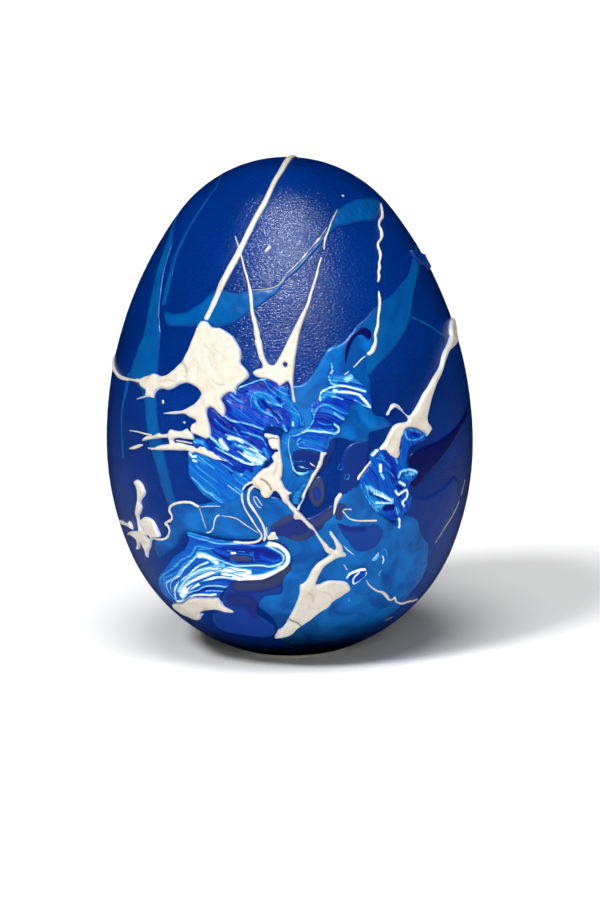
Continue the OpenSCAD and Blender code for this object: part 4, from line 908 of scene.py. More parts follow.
# Short strokes that fell on the right: a comma, a tick and a slanting dash
make_piece("white_ticks_right",
           [film([(5.65, 23.05), (5.9, 23.05), (6.05, 22.8), (5.75, 22.3), (5.5, 21.85), (5.35, 21.35),
                  (5.2, 20.85), (5, 20.4), (4.9, 20.65), (4.95, 21.25), (5.05, 21.95), (5.2, 22.45),
                  (5.45, 22.8)], thick=0.24, rim=0.25, step=0.1),
            strand([(7.15, 20.95, 0.3), (6.5, 21.05, 0.2), (5.95, 20.95, 0.2), (6.3, 20.5, 0.2),
                    (6.75, 19.9, 0.25), (7.6, 19.55, 0.3), (8.8, 19.4, 0.32), (10.1, 19.25, 0.32)]),
            strand([(9.6, 26.9, 0.25), (9.35, 26.4, 0.25), (8.9, 25.9, 0.3), (8.4, 25.3, 0.35),
                    (8, 24.8, 0.4), (7.85, 24.4, 0.3)])], cream, "white_check_right")

# A shaky thread at the lower right
make_piece("white_thread_base_shaky",
           [strand([(8.65, 11.8, 0.15), (9, 11.1, 0.25), (9.5, 10.5, 0.3), (10, 10.05, 0.35),
                    (10.6, 9.75, 0.45), (11.1, 9.1, 0.45), (11.4, 8.5, 0.35), (11.85, 8.4, 0.35),
                    (12.05, 8.65, 0.35), (12.3, 7.9, 0.35), (12.65, 7.6, 0.35), (13.1, 7.3, 0.35),
                    (13.75, 7.3, 0.3), (14.35, 7.1, 0.25), (15, 7, 0.15)])], cream,
           "white_thread_base_right")

# Specks and flicks of the same white
make_piece("white_specks_group",
           [strand([(6.75, 56.35), (7.05, 56.25)], thick=0.05, width=0.4),
            strand([(-14.85, 33.55), (-14.85, 33.05)], thick=0.05, width=0.3),
            strand([(-2.5, 50.7), (-1.8, 51.4)], thick=0.06, width=0.35),
            strand([(-6.7, 4.7), (-6.1, 4.9), (-5.8, 4.7), (-5.4, 4.8)], thick=0.05, width=0.22),
            strand([(9.4, 4.6), (10.4, 4.9), (12, 5.3)], thick=0.03, width=0.12),
            strand([(17.1, 15.2), (17.25, 14.9), (17.35, 15.3)], thick=0.05, width=0.25),
            strand([(-12.5, 31.3), (-12.2, 31.15)], thick=0.05, width=0.22), strand(ribbon_edge, thick=0.08),
            strand([(-8.2, 20.45, 0.12), (-6.5, 20.2, 0.16), (-5.3, 19.4, 0.16), (-3.8, 18.4, 0.12)],
                   thick=0.06),
            strand([(-10.7, 21.3, 0.12), (-9.6, 21.5, 0.16), (-8.2, 21.6, 0.12)], thick=0.06),
            strand([(-2.9, 19.3), (-2.85, 17.9)], thick=0.06, width=0.14),
            strand([(6, 14.2), (6.5, 13.3)], thick=0.06, width=0.16),
            strand([(16, 20, 0.1), (16.3, 18.5, 0.14), (16.7, 17.3, 0.12), (17.1, 16.2, 0.1)], thick=0.05),
            strand([(21, 21.6, 0.1), (20, 18.7, 0.16), (18.2, 16.2, 0.16), (17.5, 15.2, 0.1)], thick=0.04),
            strand([(14, 18.4, 0.1), (15.2, 19.6, 0.12), (16.8, 20.4, 0.08)], thick=0.04),
            film([(-2.75, 17.6), (-2.85, 17.95), (-2.65, 18.25), (-2.5, 18.5), (-2.2, 18.65), (-1.9, 18.6),
                  (-1.7, 18.1), (-1.5, 17.7), (-2.05, 17.6)], thick=0.3, rim=0.3, step=0.12)], cream,
           "white_specks")

# ---- Marbled fan ----
# White, cyan, cobalt and navy poured side by side and pulled once to the right with a palette
# knife, so that they lie in long unmixed bands that fold round a dark eye.

# Marbled fluid acrylic: one film of bands running from navy through cobalt and cyan to white
marbled, tree, out = new_material("marbled_blue_and_white_acrylic")
place = add(tree, "TexCoord", {}).outputs["Object"]
tone_in = add(tree, "Attribute", {}, attribute_name="tone").outputs["Fac"]
vein_in = add(tree, "Attribute", {}, attribute_name="vein").outputs["Fac"]
slow = add(tree, "VectorMath", {0: place, 1: [1 / (4 * MM)] * 3}, operation="MULTIPLY")
fast = add(tree, "CombineXYZ",
           {"X": add(tree, "Math", {0: vein_in, 1: 5.5}, operation="MULTIPLY").outputs["Value"]})
drawn = add(tree, "VectorMath", {0: slow.outputs["Vector"], 1: fast.outputs["Vector"]}, operation="ADD")
streaks = add(tree, "TexNoise",
              {"Vector": drawn.outputs["Vector"], "Scale": 1.0, "Detail": 4.0, "Roughness": 0.6})
drift = add(tree, "MapRange",
            {"Value": streaks.outputs["Fac"], "From Min": 0.25, "From Max": 0.75, "To Min": -0.16,
             "To Max": 0.16})
mixed = add(tree, "Math", {0: tone_in, 1: drift.outputs["Result"]}, operation="ADD")
tone = add(tree, "ValToRGB", {"Fac": mixed.outputs["Value"]})
tone.color_ramp.elements[0].color = linear("00084a")
tone.color_ramp.elements[1].color = linear("f6efe6")
for position, shade in ((0.14, "001e8a"), (0.28, "0044b4"), (0.42, "0062ac"), (0.56, "2490d2"),
                        (0.7, "7cbae4"), (0.85, "dce9f2")):
    tone.color_ramp.elements.new(position).color = linear(shade)
tooth = add(tree, "Bump", {"Height": streaks.outputs["Fac"], "Distance": 0.07 * MM})
bsdf = add(tree, "BsdfPrincipled",
           {"Base Color": tone.outputs["Color"], "Roughness": 0.28, "Specular IOR Level": 0.25,
            "Normal": tooth.outputs["Normal"]})
tree.links.new(bsdf.outputs["BSDF"], out.inputs["Surface"])

fan = [
    (-12.3, 17.95), (-12.1, 17.4), (-12.2, 16.65), (-12.75, 15.65), (-13.9, 14.65), (-14.6, 13.55),
    (-15.4, 12.25), (-15.9, 11.4), (-15.95, 10.45), (-15.6, 9.2), (-14.95, 8.3), (-14.2, 7.9), (-13.7, 8.1),
    (-13, 8.4), (-12.6, 8.85), (-12.1, 9.3), (-11.2, 9.6), (-10, 9.75), (-8.85, 9.9), (-8.2, 10.6),
    (-7.6, 11.4), (-7, 12.1), (-6, 12.3), (-4.45, 12.45), (-3.5, 12.55), (-2.55, 13), (-1.6, 13.55),
    (-0.8, 14.05), (-0.25, 14.6), (-0.1, 15.2), (-0.3, 15.9), (-1, 16.7), (-1.8, 17.2), (-2.6, 17.4),
    (-4, 17), (-6.5, 17.2), (-9, 17.4), (-10.5, 17.7)
]
fan_bands = [
    (0.3, 1.6, 0, [(-12, 16.8), (-10, 16.8), (-7, 16.6), (-4, 16.6)]),
    (0.18, 0.5, 0, [(-8, 16.6), (-5, 16.7), (-3, 16.6)]),
    (0.34, 1.6, 0, [(-12.6, 15.6), (-14.2, 13.6), (-15.4, 11.4), (-15.2, 9.4)]),
    (0.7, 0.25, 0.04, [(-12.5, 17.8), (-11.1, 17.5), (-9.8, 17.25), (-8.6, 17), (-7.4, 17.05), (-5, 17.2)]),
    (0.6, 0.2, 0.03, [(-12.3, 18), (-9.8, 17.6), (-8, 17.35)]),
    (0.55, 0.28, 0.05,
     [(-5.5, 16.15), (-8, 16.2), (-10, 16.35), (-11.1, 16.4), (-11.6, 15.4), (-12.3, 14.8), (-13.1, 14.2),
      (-14, 13.1), (-14.7, 12.3), (-15.4, 11.7), (-15.6, 10.9)]),
    (0.85, 1.1, 0.08, [(-10.9, 15.3), (-10.3, 15.4), (-9.6, 15.1), (-8.8, 14.6)]),
    (0.36, 0.8, 0, [(-10, 14.6), (-11.1, 13.6), (-12.3, 12.55), (-13.5, 11.2), (-14, 10.1)]),
    (0.72, 0.4, 0.06,
     [(-11.1, 15.2), (-12.3, 13.8), (-12.9, 13.1), (-13.6, 12), (-14.2, 11.5), (-14.8, 10.9), (-14.85, 10.4),
      (-14.6, 9.6), (-14.15, 8.85), (-13.6, 8.5)]),
    (0.66, 0.7, 0.06,
     [(-8, 14.3), (-10, 13.65), (-11.1, 13.05), (-11.95, 12.35), (-12.55, 11.7), (-13.1, 10.75),
      (-13.5, 9.85)]),
    (0.92, 0.9, 0.1,
     [(-5, 13.6), (-6.85, 13.8), (-8.7, 13.6), (-9.9, 13), (-11.1, 12.2), (-12.1, 11.3), (-12.7, 10.4),
      (-13.1, 9.4)]),
    (0.86, 0.34, 0.08,
     [(-9.8, 14.5), (-10.9, 13.9), (-11.7, 13.1), (-12.7, 12.1), (-13.5, 11), (-13.9, 9.9), (-13.8, 8.9)]),
    (0.3, 0.35, -0.03, [(-9.2, 12.6), (-10.4, 12.2), (-11.6, 11.5), (-12.4, 10.8)]),
    (0.95, 1, 0.1, [(-8, 13.2), (-6, 13), (-4, 12.95), (-2.6, 13.3), (-1.3, 14.1)]),
    (0.9, 0.6, 0.08,
     [(-6.2, 12.6), (-7.5, 12.75), (-8.7, 12.75), (-10, 12.05), (-11.7, 11), (-12.55, 10.05),
      (-12.9, 9.25)]),
    (0.97, 0.75, 0.12,
     [(-2.6, 17.15), (-1.65, 17), (-0.95, 16.5), (-0.5, 15.8), (-0.5, 15.05), (-0.95, 14.25), (-2.1, 13.4),
      (-3.3, 12.9), (-4.5, 12.7), (-6.2, 12.55)]),
    (0.78, 0.3, 0.06,
     [(-3, 17), (-2.1, 16.55), (-1.2, 15.95), (-0.95, 15.45), (-1.2, 14.85), (-2.1, 14.4), (-2.8, 14.3),
      (-3.4, 14.45), (-5, 14.4), (-6.8, 14.35), (-8, 14.75), (-9.2, 15.2)]),
    (0.55, 0.13, -0.03, [(-1.6, 14.1), (-2.6, 13.75), (-3.6, 13.75), (-4.8, 13.9), (-6.4, 14.05)]),
    (0.5, 0.2, -0.04, [(-9.2, 13.35), (-8, 13.4), (-7, 13.25), (-5.8, 12.9)]),
    (0.3, 0.13, -0.04, [(-8.5, 13.95), (-7.2, 13.9), (-6.6, 13.7), (-5.4, 13.55)]),
    (0.2, 0.5, -0.03, [(-10.8, 11.6), (-9.6, 12), (-8.4, 12.2), (-7.2, 12.2)]),
    (0.12, 0.6, -0.03, [(-11.6, 10.2), (-10.2, 10.9), (-8.6, 11), (-7.9, 11)]),
    (0.76, 0.24, 0.05,
     [(-13.6, 8.5), (-13, 8.8), (-12.6, 9.5), (-12.1, 10.1), (-11.1, 10.6), (-10.3, 11.2), (-9, 11.5),
      (-7.6, 11.45)]),
    (0.95, 0.35, 0.1,
     [(-13.6, 8.4), (-12.8, 8.6), (-12.3, 9.2), (-11.6, 9.75), (-10.8, 10.05), (-9.8, 10.1), (-9, 10.35)]),
    (0.85, 0.16, 0.03, [(-10.2, 10.6), (-9.2, 10.8), (-8.2, 10.8)]),
    (0.6, 0.16, 0.02,
     [(-11.4, 16), (-12, 15), (-12.9, 14.5), (-13.6, 13.4), (-14.4, 12.7), (-15, 12.1), (-15.3, 11)]),
    (0.62, 0.16, 0.02,
     [(-9.4, 16.2), (-10.8, 16), (-11.4, 14.9), (-12.5, 14.1), (-13.3, 12.9), (-14.2, 12.1), (-15, 11.4),
      (-15.1, 10)]),
    (0.9, 0.14, 0.04,
     [(-11.3, 14.9), (-12.1, 13.9), (-12.6, 13.3), (-13.2, 12.2), (-13.9, 11.6), (-14.4, 10.7), (-14.3, 9.8),
      (-13.8, 8.9)]),
    (0.16, 0.16, -0.03, [(-10.6, 14.4), (-11.5, 13.7), (-12.1, 12.8), (-13, 11.9), (-13.4, 10.9)]),
    (0.92, 0.14, 0.04,
     [(-9.4, 13.9), (-10.9, 13.3), (-11.8, 12.6), (-12.4, 11.9), (-13, 10.9), (-13.3, 9.9), (-13.2, 9.1)]),
    (0.2, 0.14, -0.03, [(-8, 13.8), (-9.6, 13.4), (-11, 12.6), (-12, 11.9)]),
    (0.15, 0.16, -0.03, [(-7, 12.9), (-8.6, 12.9), (-10, 12.4), (-11.4, 11.4), (-12.2, 10.4)]),
    (0.62, 0.14, 0.03, [(-14.6, 8.6), (-15.2, 9.8), (-15.6, 10.6)])
]
make_piece("marbled_fan_bands",
           [film(fan, thick=0.26, rim=0.25, step=0.1, base=0.34, strokes=fan_bands, wave=0.03, grain=8)],
           marbled, "marbled_fan")

eye = [(-9.6, 16.4), (-7.5, 16.6), (-5, 16.85), (-3.2, 16.8), (-1.9, 16.3), (-1.1, 15.6), (-1.3, 15),
       (-2.2, 14.6), (-3.4, 14.65), (-5, 14.55), (-6.8, 14.5), (-8, 14.9), (-9, 15.5)]
eye_bands = [
    (0.1, 0.9, 0, [(-7, 16.2), (-4, 16.3), (-2.4, 15.8)]),
    (0.26, 0.6, 0, [(-3.6, 15.6), (-2.2, 15)]),
    (0.28, 0.7, 0.03, [(-8.8, 16.2), (-7.4, 15.6)]),
    (0.5, 0.14, 0.03, [(-6.6, 15.9), (-5.2, 15.8), (-4.5, 15.6), (-4.4, 15.1)]),
    (0.45, 0.3, 0.03, [(-1.5, 15.2), (-2.3, 14.9)]),
    (0.95, 0.45, 0.06, [(-7, 15.9), (-6.6, 15.95)])
]
make_piece("marbled_eye_pool",
           [film(eye, thick=0.3, rim=0.3, step=0.12, base=0.14, strokes=eye_bands, wave=0.02, grain=4)],
           marbled, "marbled_eye")
eye_stain = [(-7.2, 15.6), (-6.4, 15.8), (-5.2, 15.75), (-4.6, 15.5), (-4.6, 15), (-5.3, 14.8),
             (-6.4, 14.75), (-7.4, 15)]
make_piece("marbled_eye_stain", [film(eye_stain, thick=0.33, rim=0.3, step=0.14, base=1, wave=0.01)],
           violet_paint, "marbled_eye")

# ---- Knifed left ----
# Stiff cobalt, cerulean and white dragged down to the right with a palette knife over the wet
# pours. The knife left ridges along its path, a hard edge on the left, and one curled fold on top.

# Heavy-body acrylic: streaked in the direction of the knife, ridged and glossy
knifed, tree, out = new_material("knifed_cobalt_and_white_acrylic")
place = add(tree, "TexCoord", {}).outputs["Object"]
tone_in = add(tree, "Attribute", {}, attribute_name="tone").outputs["Fac"]
vein_in = add(tree, "Attribute", {}, attribute_name="vein").outputs["Fac"]
slow = add(tree, "VectorMath", {0: place, 1: [1 / (3.2 * MM)] * 3}, operation="MULTIPLY")
fast = add(tree, "CombineXYZ",
           {"X": add(tree, "Math", {0: vein_in, 1: 8.0}, operation="MULTIPLY").outputs["Value"]})
drawn = add(tree, "VectorMath", {0: slow.outputs["Vector"], 1: fast.outputs["Vector"]}, operation="ADD")
streaks = add(tree, "TexNoise",
              {"Vector": drawn.outputs["Vector"], "Scale": 1.0, "Detail": 5.0, "Roughness": 0.65})
drift = add(tree, "MapRange",
            {"Value": streaks.outputs["Fac"], "From Min": 0.3, "From Max": 0.7, "To Min": -0.22,
             "To Max": 0.22})
mixed = add(tree, "Math", {0: tone_in, 1: drift.outputs["Result"]}, operation="ADD")
tone = add(tree, "ValToRGB", {"Fac": mixed.outputs["Value"]})
tone.color_ramp.elements[0].color = linear("000a52")
tone.color_ramp.elements[1].color = linear("f6efe6")
for position, shade in ((0.15, "001e92"), (0.3, "0046b4"), (0.42, "0060a8"), (0.56, "1484c8"),
                        (0.7, "78bfe8"), (0.85, "d8e7f1")):
    tone.color_ramp.elements.new(position).color = linear(shade)
tooth = add(tree, "Bump", {"Height": streaks.outputs["Fac"], "Distance": 0.1 * MM})
bsdf = add(tree, "BsdfPrincipled",
           {"Base Color": tone.outputs["Color"], "Roughness": 0.26, "Specular IOR Level": 0.22,
            "Normal": tooth.outputs["Normal"]})
tree.links.new(bsdf.outputs["BSDF"], out.inputs["Surface"])

knifed_left = [
    (-7.7, 34.2), (-7, 35), (-6.1, 35.1), (-5.8, 35.7), (-4.8, 36.1), (-3.6, 36.6), (-2.4, 36.7),
    (-1.4, 36.2), (-1, 35.8), (-0.4, 36.1), (0.1, 35.8), (0.2, 34.6), (0.6, 33.8), (1.2, 33), (1.7, 32),
    (1.75, 31.2), (1.2, 30.9), (0.2, 30.9), (-0.2, 30.4), (-0.6, 30.5), (-1.1, 31), (-2.1, 31.2),
    (-2.9, 30.5), (-2.7, 29.7), (-2.4, 28.8), (-2, 28.1), (-2.2, 27.4), (-2.8, 27.2), (-3.2, 26.4),
    (-4.1, 26.6), (-4.4, 25.7), (-5.2, 26.1), (-5.6, 25.3), (-6.4, 26), (-6.8, 25.4), (-7.6, 26.3),
    (-8.8, 27.2), (-10.2, 28), (-11.2, 28.5), (-11.2, 29.3), (-10.2, 29.8), (-9.3, 29.9), (-9.1, 30.9),
    (-9.4, 31.6), (-9.5, 33), (-8.8, 33.1), (-7.7, 32.2), (-7.4, 33)
]
left_strokes = [
    (0.2, 2.8, 0.06, [(-7.2, 33.8), (-4.6, 32.8), (-1.6, 31.6)]),
    (0.27, 1.4, 0.08, [(-6.6, 33.4), (-4.2, 32.3), (-2.2, 31.4)]),
    (0.1, 1, 0, [(-7.8, 34), (-6.8, 33.2)]),
    (0.1, 1.5, 0, [(-9.2, 32.8), (-8.2, 31.5), (-6.6, 30.6)]),
    (0.14, 1, 0, [(-5.2, 35.3), (-3.6, 35.9), (-2.2, 36.2), (-1.2, 35.4)]),
    (0.34, 0.9, 0.05, [(-4.6, 34.9), (-2.8, 35), (-1.6, 34.6)]),
    (0.44, 1.4, 0, [(-0.9, 35.4), (-0.2, 34), (0.6, 32.8), (0.6, 31.4)]),
    (0.56, 0.8, 0.08, [(-11.1, 29.2), (-10.2, 29.1), (-9.4, 28.8)]),
    (0.12, 0.8, -0.05, [(-9.6, 29.1), (-8, 28.1), (-6.2, 27.2)]),
    (0.7, 0.5, 0.1, [(-9.2, 29.9), (-8.6, 29.3), (-7.6, 28.5)]),
    (0.85, 0.7, 0.14, [(-8, 29.5), (-7.6, 29), (-7.2, 28.5)]),
    (0.8, 0.7, 0.12, [(-7, 29.8), (-6.2, 29.7), (-5.4, 29.4)]),
    (0.96, 0.26, 0.1, [(-6.8, 29.9), (-6, 29.7), (-5.3, 29.3)]),
    (0.9, 0.16, 0.06, [(-7.4, 30.2), (-6.5, 29.95), (-5.6, 29.7), (-4.9, 29.3)]),
    (0.7, 0.14, 0.05, [(-9.9, 28.6), (-8.9, 27.9), (-7.7, 27.4), (-6.6, 26.6)]),
    (0.9, 0.3, 0.12, [(-5.6, 29.6), (-4.6, 29.1), (-3.7, 28.4)]),
    (0.78, 0.6, 0.08, [(-5.8, 28.9), (-4.6, 28.4), (-3.4, 27.6), (-2.6, 27.2)]),
    (0.97, 0.2, 0.12, [(-4.6, 28.7), (-3.6, 28.1), (-2.8, 27.5)]),
    (0.5, 0.16, -0.04, [(-4.9, 28.3), (-4, 27.8), (-3.1, 27.2)]),
    (0.7, 0.16, 0.06, [(-6.4, 29.2), (-5.2, 28.4), (-4.2, 27.5)]),
    (0.92, 0.16, 0.08, [(-6, 28.3), (-5, 27.6), (-4.2, 26.9)]),
    (0.2, 0.2, -0.04, [(-6.8, 28.6), (-5.6, 27.8), (-4.8, 27.1)]),
    (0.62, 0.2, -0.05, [(-5.4, 29.5), (-4.2, 28.9), (-3.2, 28.2)]),
    (0.5, 0.4, 0, [(-6.6, 29), (-5, 28.5), (-4, 28)]),
    (0.8, 1.2, 0.12, [(-5.1, 28), (-4.2, 27.5), (-3.4, 27.1)]),
    (0.75, 0.4, 0.1, [(-6.4, 27.5), (-5, 26.9), (-3.8, 26.7)]),
    (0.5, 0.5, 0.05, [(-3, 28.6), (-2.5, 27.7)]),
    (0.68, 0.3, 0.08, [(-8.6, 28.6), (-7.2, 27.9), (-5.4, 27.2)]),
    (0.1, 0.6, -0.04, [(-6, 26.6), (-4.9, 26.3), (-4.1, 26.1)]),
    (0.82, 0.35, 0.08, [(-5.8, 25.6), (-5, 25.4), (-4.4, 25.5)]),
    (0.6, 0.3, 0.06, [(-8.2, 26.9), (-6.8, 26), (-5.6, 25.2)]),
    (0.7, 0.26, 0.1, [(-7.6, 32.4), (-6.8, 31.85), (-5.4, 31.6), (-4.2, 31.3), (-3, 30.9)]),
    (0.58, 0.22, 0.06, [(-6.4, 31), (-6, 30.4), (-5.8, 30.1)]),
    (0.64, 0.22, 0.06, [(-5.6, 30.6), (-4.4, 30.3), (-3.2, 29.8), (-2.7, 29)]),
    (0.74, 0.26, 0.1, [(-6.2, 34.9), (-5.95, 35.4), (-5.3, 35.8), (-4.2, 36.2), (-3.4, 36.5), (-2.6, 36.6)]),
    (0.62, 0.3, 0.06, [(-6.7, 34.8), (-6.1, 34.3), (-5.3, 33.9)]),
    (0.7, 0.25, 0.06, [(-7.1, 34.1), (-6.7, 33.8)]),
    (0.5, 0.3, 0.06, [(-2.8, 36.4), (-2.1, 35.4), (-1.1, 34.6)]),
    (0.44, 0.8, 0.08, [(-3.8, 33.6), (-3.9, 34.4), (-3.3, 34.7), (-2.4, 34.4), (-1.4, 33.8)]),
    (0.64, 0.14, 0.04,
     [(-4.3, 33.4), (-4.35, 34.5), (-3.7, 35.1), (-2.6, 34.9), (-1.6, 34.3), (-0.8, 33.4)]),
    (0.6, 0.14, 0.04, [(-8.6, 31.9), (-7.6, 31), (-6.2, 30.3), (-4.8, 29.9)]),
    (0.56, 0.45, 0.1, [(-3.8, 34), (-3.5, 33.3), (-2.8, 32.8), (-2, 32.5)]),
    (0.6, 0.3, 0.08, [(-2.6, 34.1), (-1.9, 33.8), (-1, 33.6), (-0.6, 33.8)]),
    (0.04, 0.5, -0.12, [(-3.15, 34.2), (-2.7, 33.5), (-2, 33), (-1.4, 32.4), (-1.05, 31.9)]),
    (0.66, 0.18, 0.06, [(-2.2, 32.6), (-1.6, 32.2), (-1.2, 31.6)]),
    (0.66, 0.18, 0.06, [(-1.8, 33), (-1.2, 32.6), (-0.8, 32)]),
    (0.58, 0.2, 0.06, [(0.2, 33.6), (0.9, 32.9), (1.3, 31.9), (1.35, 31.2)]),
    (0.58, 0.2, 0.06, [(1.1, 33.1), (1.55, 32.2), (1.6, 31.3)]),
    (0.9, 0.25, 0.08, [(-2.05, 31.35), (-1.95, 31.2)]),
    (0.9, 0.25, 0.08, [(-1.75, 31.15), (-1.4, 31.1)]),
    (0.9, 0.22, 0.08, [(0.4, 31.7), (0.42, 31.3)]),
    (0.6, 0.5, 0.05, [(-0.7, 31.3), (-0.4, 30.7)])
]
make_piece("knifed_left_ridges",
           [film(knifed_left, thick=0.3, rim=0.25, step=0.11, base=0.18, strokes=left_strokes, wave=0.06,
                 grain=-26)], knifed, "impasto_left")

# Below it the knife ran almost dry and left only a scraped film, scored along the stroke
scraped = [
    (-11.9, 27.9), (-11.2, 28.2), (-10, 28.1), (-8.4, 27.2), (-7, 26.4), (-5.6, 26.2), (-4.2, 26.7),
    (-3, 26.9), (-3.4, 26.2), (-4.4, 25), (-5.2, 24.2), (-5.6, 23.2), (-6.4, 22.5), (-7.3, 22.1),
    (-8.4, 21.9), (-9.6, 22.4), (-10.6, 23.2), (-11.4, 24.2), (-11.9, 25), (-11.95, 26.4)
]
scores = []
random = np.random.default_rng(12)
score_count = 40
for _ in range(score_count):
    x, z = random.uniform(-11.8, -4), random.uniform(22.2, 28)
    length = random.uniform(0.6, 2.6)
    tone = random.choice([0.24, 0.3, 0.5, 0.56, 0.62, 0.76])
    width = random.uniform(0.12, 0.2)
    line = [(x, z), (x + 0.5 * length, z - 0.38 * length), (x + length, z - 0.72 * length)]
    scores.append((tone, width, 0.03, line))
scores += [
    (0.92, 0.4, 0.1, [(-11.7, 27.7), (-11.35, 27.3), (-11, 27.4)]),
    (0.9, 0.35, 0.1, [(-11.3, 26.9), (-10.9, 26.8)]),
    (0.72, 0.2, 0.05, [(-11.5, 24.8), (-10.8, 24.2), (-9.8, 23.3), (-9, 22.9)]),
    (0.62, 0.16, 0.05, [(-11.8, 26.2), (-10.4, 25), (-9.2, 24.1), (-8.2, 23)])
]
make_piece("knifed_left_scrape",
           [film(scraped, thick=0.14, rim=0.25, step=0.12, base=0.36, strokes=scores, grain=-36)], marbled,
           "impasto_left")

# ---- Knifed centre ----
# Two folds of the same blue pushed up beside the diagonal line. Their crests are pale blue,
# drawn out to the right, with feathered ticks where the knife lifted.

knifed_centre = [
    (3.4, 34.2), (3.7, 35.1), (4.6, 35.7), (4.5, 36.6), (4.7, 37.6), (5, 38.3), (5.3, 37.6), (5.8, 37),
    (6.5, 36.9), (7.3, 37), (8, 36.3), (8.8, 35.4), (9.4, 34.6), (9.7, 33.2), (9.55, 32.6), (9.1, 32.6),
    (8.2, 33.2), (7, 33.2), (6.9, 32.2), (6.3, 31.5), (5.9, 31), (5.8, 30.2), (5.2, 29.9), (4.6, 29.9),
    (4.3, 29), (4.3, 28.3), (3.6, 28), (2.8, 28.2), (2, 28.4), (1.2, 28.5), (0.7, 29), (0.7, 29.6), (0, 30),
    (0.8, 30.3), (1.7, 30.8), (2.3, 31.3), (2.6, 31.9), (2.5, 32.7), (2.6, 33.6), (3, 34)
]
centre_strokes = [
    (0.2, 2.2, 0.1, [(3.4, 32.4), (4.6, 32.2), (5.6, 31.9)]),
    (0.36, 1.2, 0, [(4, 33.2), (5.4, 32.7), (6.2, 32)]),
    (0.55, 0.4, 0.05, [(5.2, 32.5), (5.9, 32), (6.5, 31.6)]),
    (0.4, 1, -0.1, [(1.6, 29.4), (2.6, 29.2), (3.6, 29)]),
    (0.14, 1, 0, [(3, 31.6), (4.4, 31.2), (5.2, 30.8)]),
    (0.44, 1.6, 0, [(5.4, 36.2), (7.2, 36), (8.6, 35)]),
    (0.16, 1.6, -0.05, [(5.6, 34), (7, 33.8), (8, 33.5)]),
    (0.52, 0.9, 0, [(3.8, 34.3), (4.4, 34.8), (5.2, 34.6)]),
    (0.62, 0.26, 0.14,
     [(0, 30.1), (0.9, 30.2), (1.75, 30.65), (2.3, 31.1), (2.75, 31.8), (2.85, 32.4), (3.2, 33.1),
      (3.9, 33.5), (4.6, 33.4), (5.2, 33.05), (5.9, 32.6), (6.8, 32.3)]),
    (0.62, 0.18, 0.08, [(2.75, 33.8), (2.6, 33.2), (2.75, 32.5)]),
    (0.82, 0.4, 0.16, [(5.15, 31.25), (5.65, 30.8), (5.65, 30.35), (5.2, 30.15)]),
    (0.75, 0.4, 0.12, [(1.5, 30.5), (2.3, 30.65), (3.5, 30.45), (4.5, 30.35), (5.1, 30.2)]),
    (0.5, 0.3, 0.05, [(3.4, 30.8), (4.2, 30.6), (5, 30.6)]),
    (0.64, 0.24, 0.12,
     [(1.15, 29.75), (0.85, 29.4), (0.95, 28.85), (1.4, 28.65), (2.1, 28.6), (2.9, 28.4), (3.7, 28.15)]),
    (0.62, 0.16, 0.06, [(0.9, 29.1), (1.3, 29.3), (1.7, 29.25)]),
    (0.5, 0.3, 0.05, [(4.5, 29.8), (4.3, 29), (4.2, 28.4)]),
    (0.6, 0.18, 0.05, [(3.3, 31.6), (4, 31.3), (4.8, 31.2)]),
    (0.85, 0.2, 0.06, [(5, 38.2), (5.05, 37.7), (4.95, 37)]),
    (0.85, 0.18, 0.06, [(5.25, 37.4), (4.8, 37.05)]),
    (0.62, 0.28, 0.08, [(4.65, 36.7), (4.85, 36), (5.5, 35.6)]),
    (0.66, 0.9, 0.08, [(6.7, 36.2), (7.2, 36.5)]),
    (0.1, 0.3, -0.08, [(5.8, 35.95), (7.2, 35.7), (8.8, 35.2)]),
    (0.82, 0.36, 0.14,
     [(3.6, 34.05), (3.5, 34.6), (3.9, 35.1), (4.8, 35.45), (6, 35.55), (7.2, 35.3), (8.8, 34.7)]),
    (0.94, 0.55, 0.18, [(5.2, 35.1), (6.6, 34.8), (8, 34.4), (8.7, 33.7), (9.3, 32.9)]),
    (0.2, 0.14, -0.06, [(5.6, 35.1), (7, 35), (8.4, 34.5)]),
    (0.7, 0.22, 0.08, [(4.9, 34.4), (5.6, 34.3), (6.2, 34)]),
    (0.62, 0.3, 0.08, [(7.6, 33.8), (8.4, 33.3), (9.2, 32.8)])
]
folds = [
    strand([(0, 30.2, 0.15), (-0.15, 29.4, 0.2), (-0.15, 28.6, 0.2), (0, 27.8, 0.2), (0.2, 26.8, 0.25),
            (0.5, 26, 0.3), (1, 25.65, 0.4), (1.8, 25.65, 0.4), (2.2, 25.9, 0.3)], thick=0.22, tone=0.66),
    strand([(0.25, 27, 0.15), (0.8, 26.6, 0.25), (1.5, 26.35, 0.3), (2.2, 26.15, 0.25)], thick=0.2,
           tone=0.64),
    strand([(0.3, 27.15, 0.12), (1, 27.05, 0.2), (1.6, 27.1, 0.1)], thick=0.12, tone=0.5),
    strand([(-1, 29.6, 0.12), (-0.5, 29.2, 0.15), (-0.3, 29.9, 0.12)], thick=0.12, tone=0.55),
    strand([(5.9, 26.55), (5.6, 26.2), (5.75, 25.85), (6.1, 25.9), (6.2, 26.3), (5.95, 26.55)], thick=0.08,
           width=0.16, tone=0.46),
    strand([(6.5, 25.3), (6.3, 24.95), (6.5, 24.65), (6.85, 24.8), (6.8, 25.2), (6.55, 25.3)], thick=0.08,
           width=0.16, tone=0.44),
    film([(0.2, 22.2), (0.2, 23), (0.8, 23.8), (1.5, 24.5), (2, 24.5), (1.5, 23.6), (1.05, 22.7), (0.9, 22),
          (0.5, 21.9)], thick=0.12, rim=0.3, step=0.15, base=0.45, wave=0.01)
]
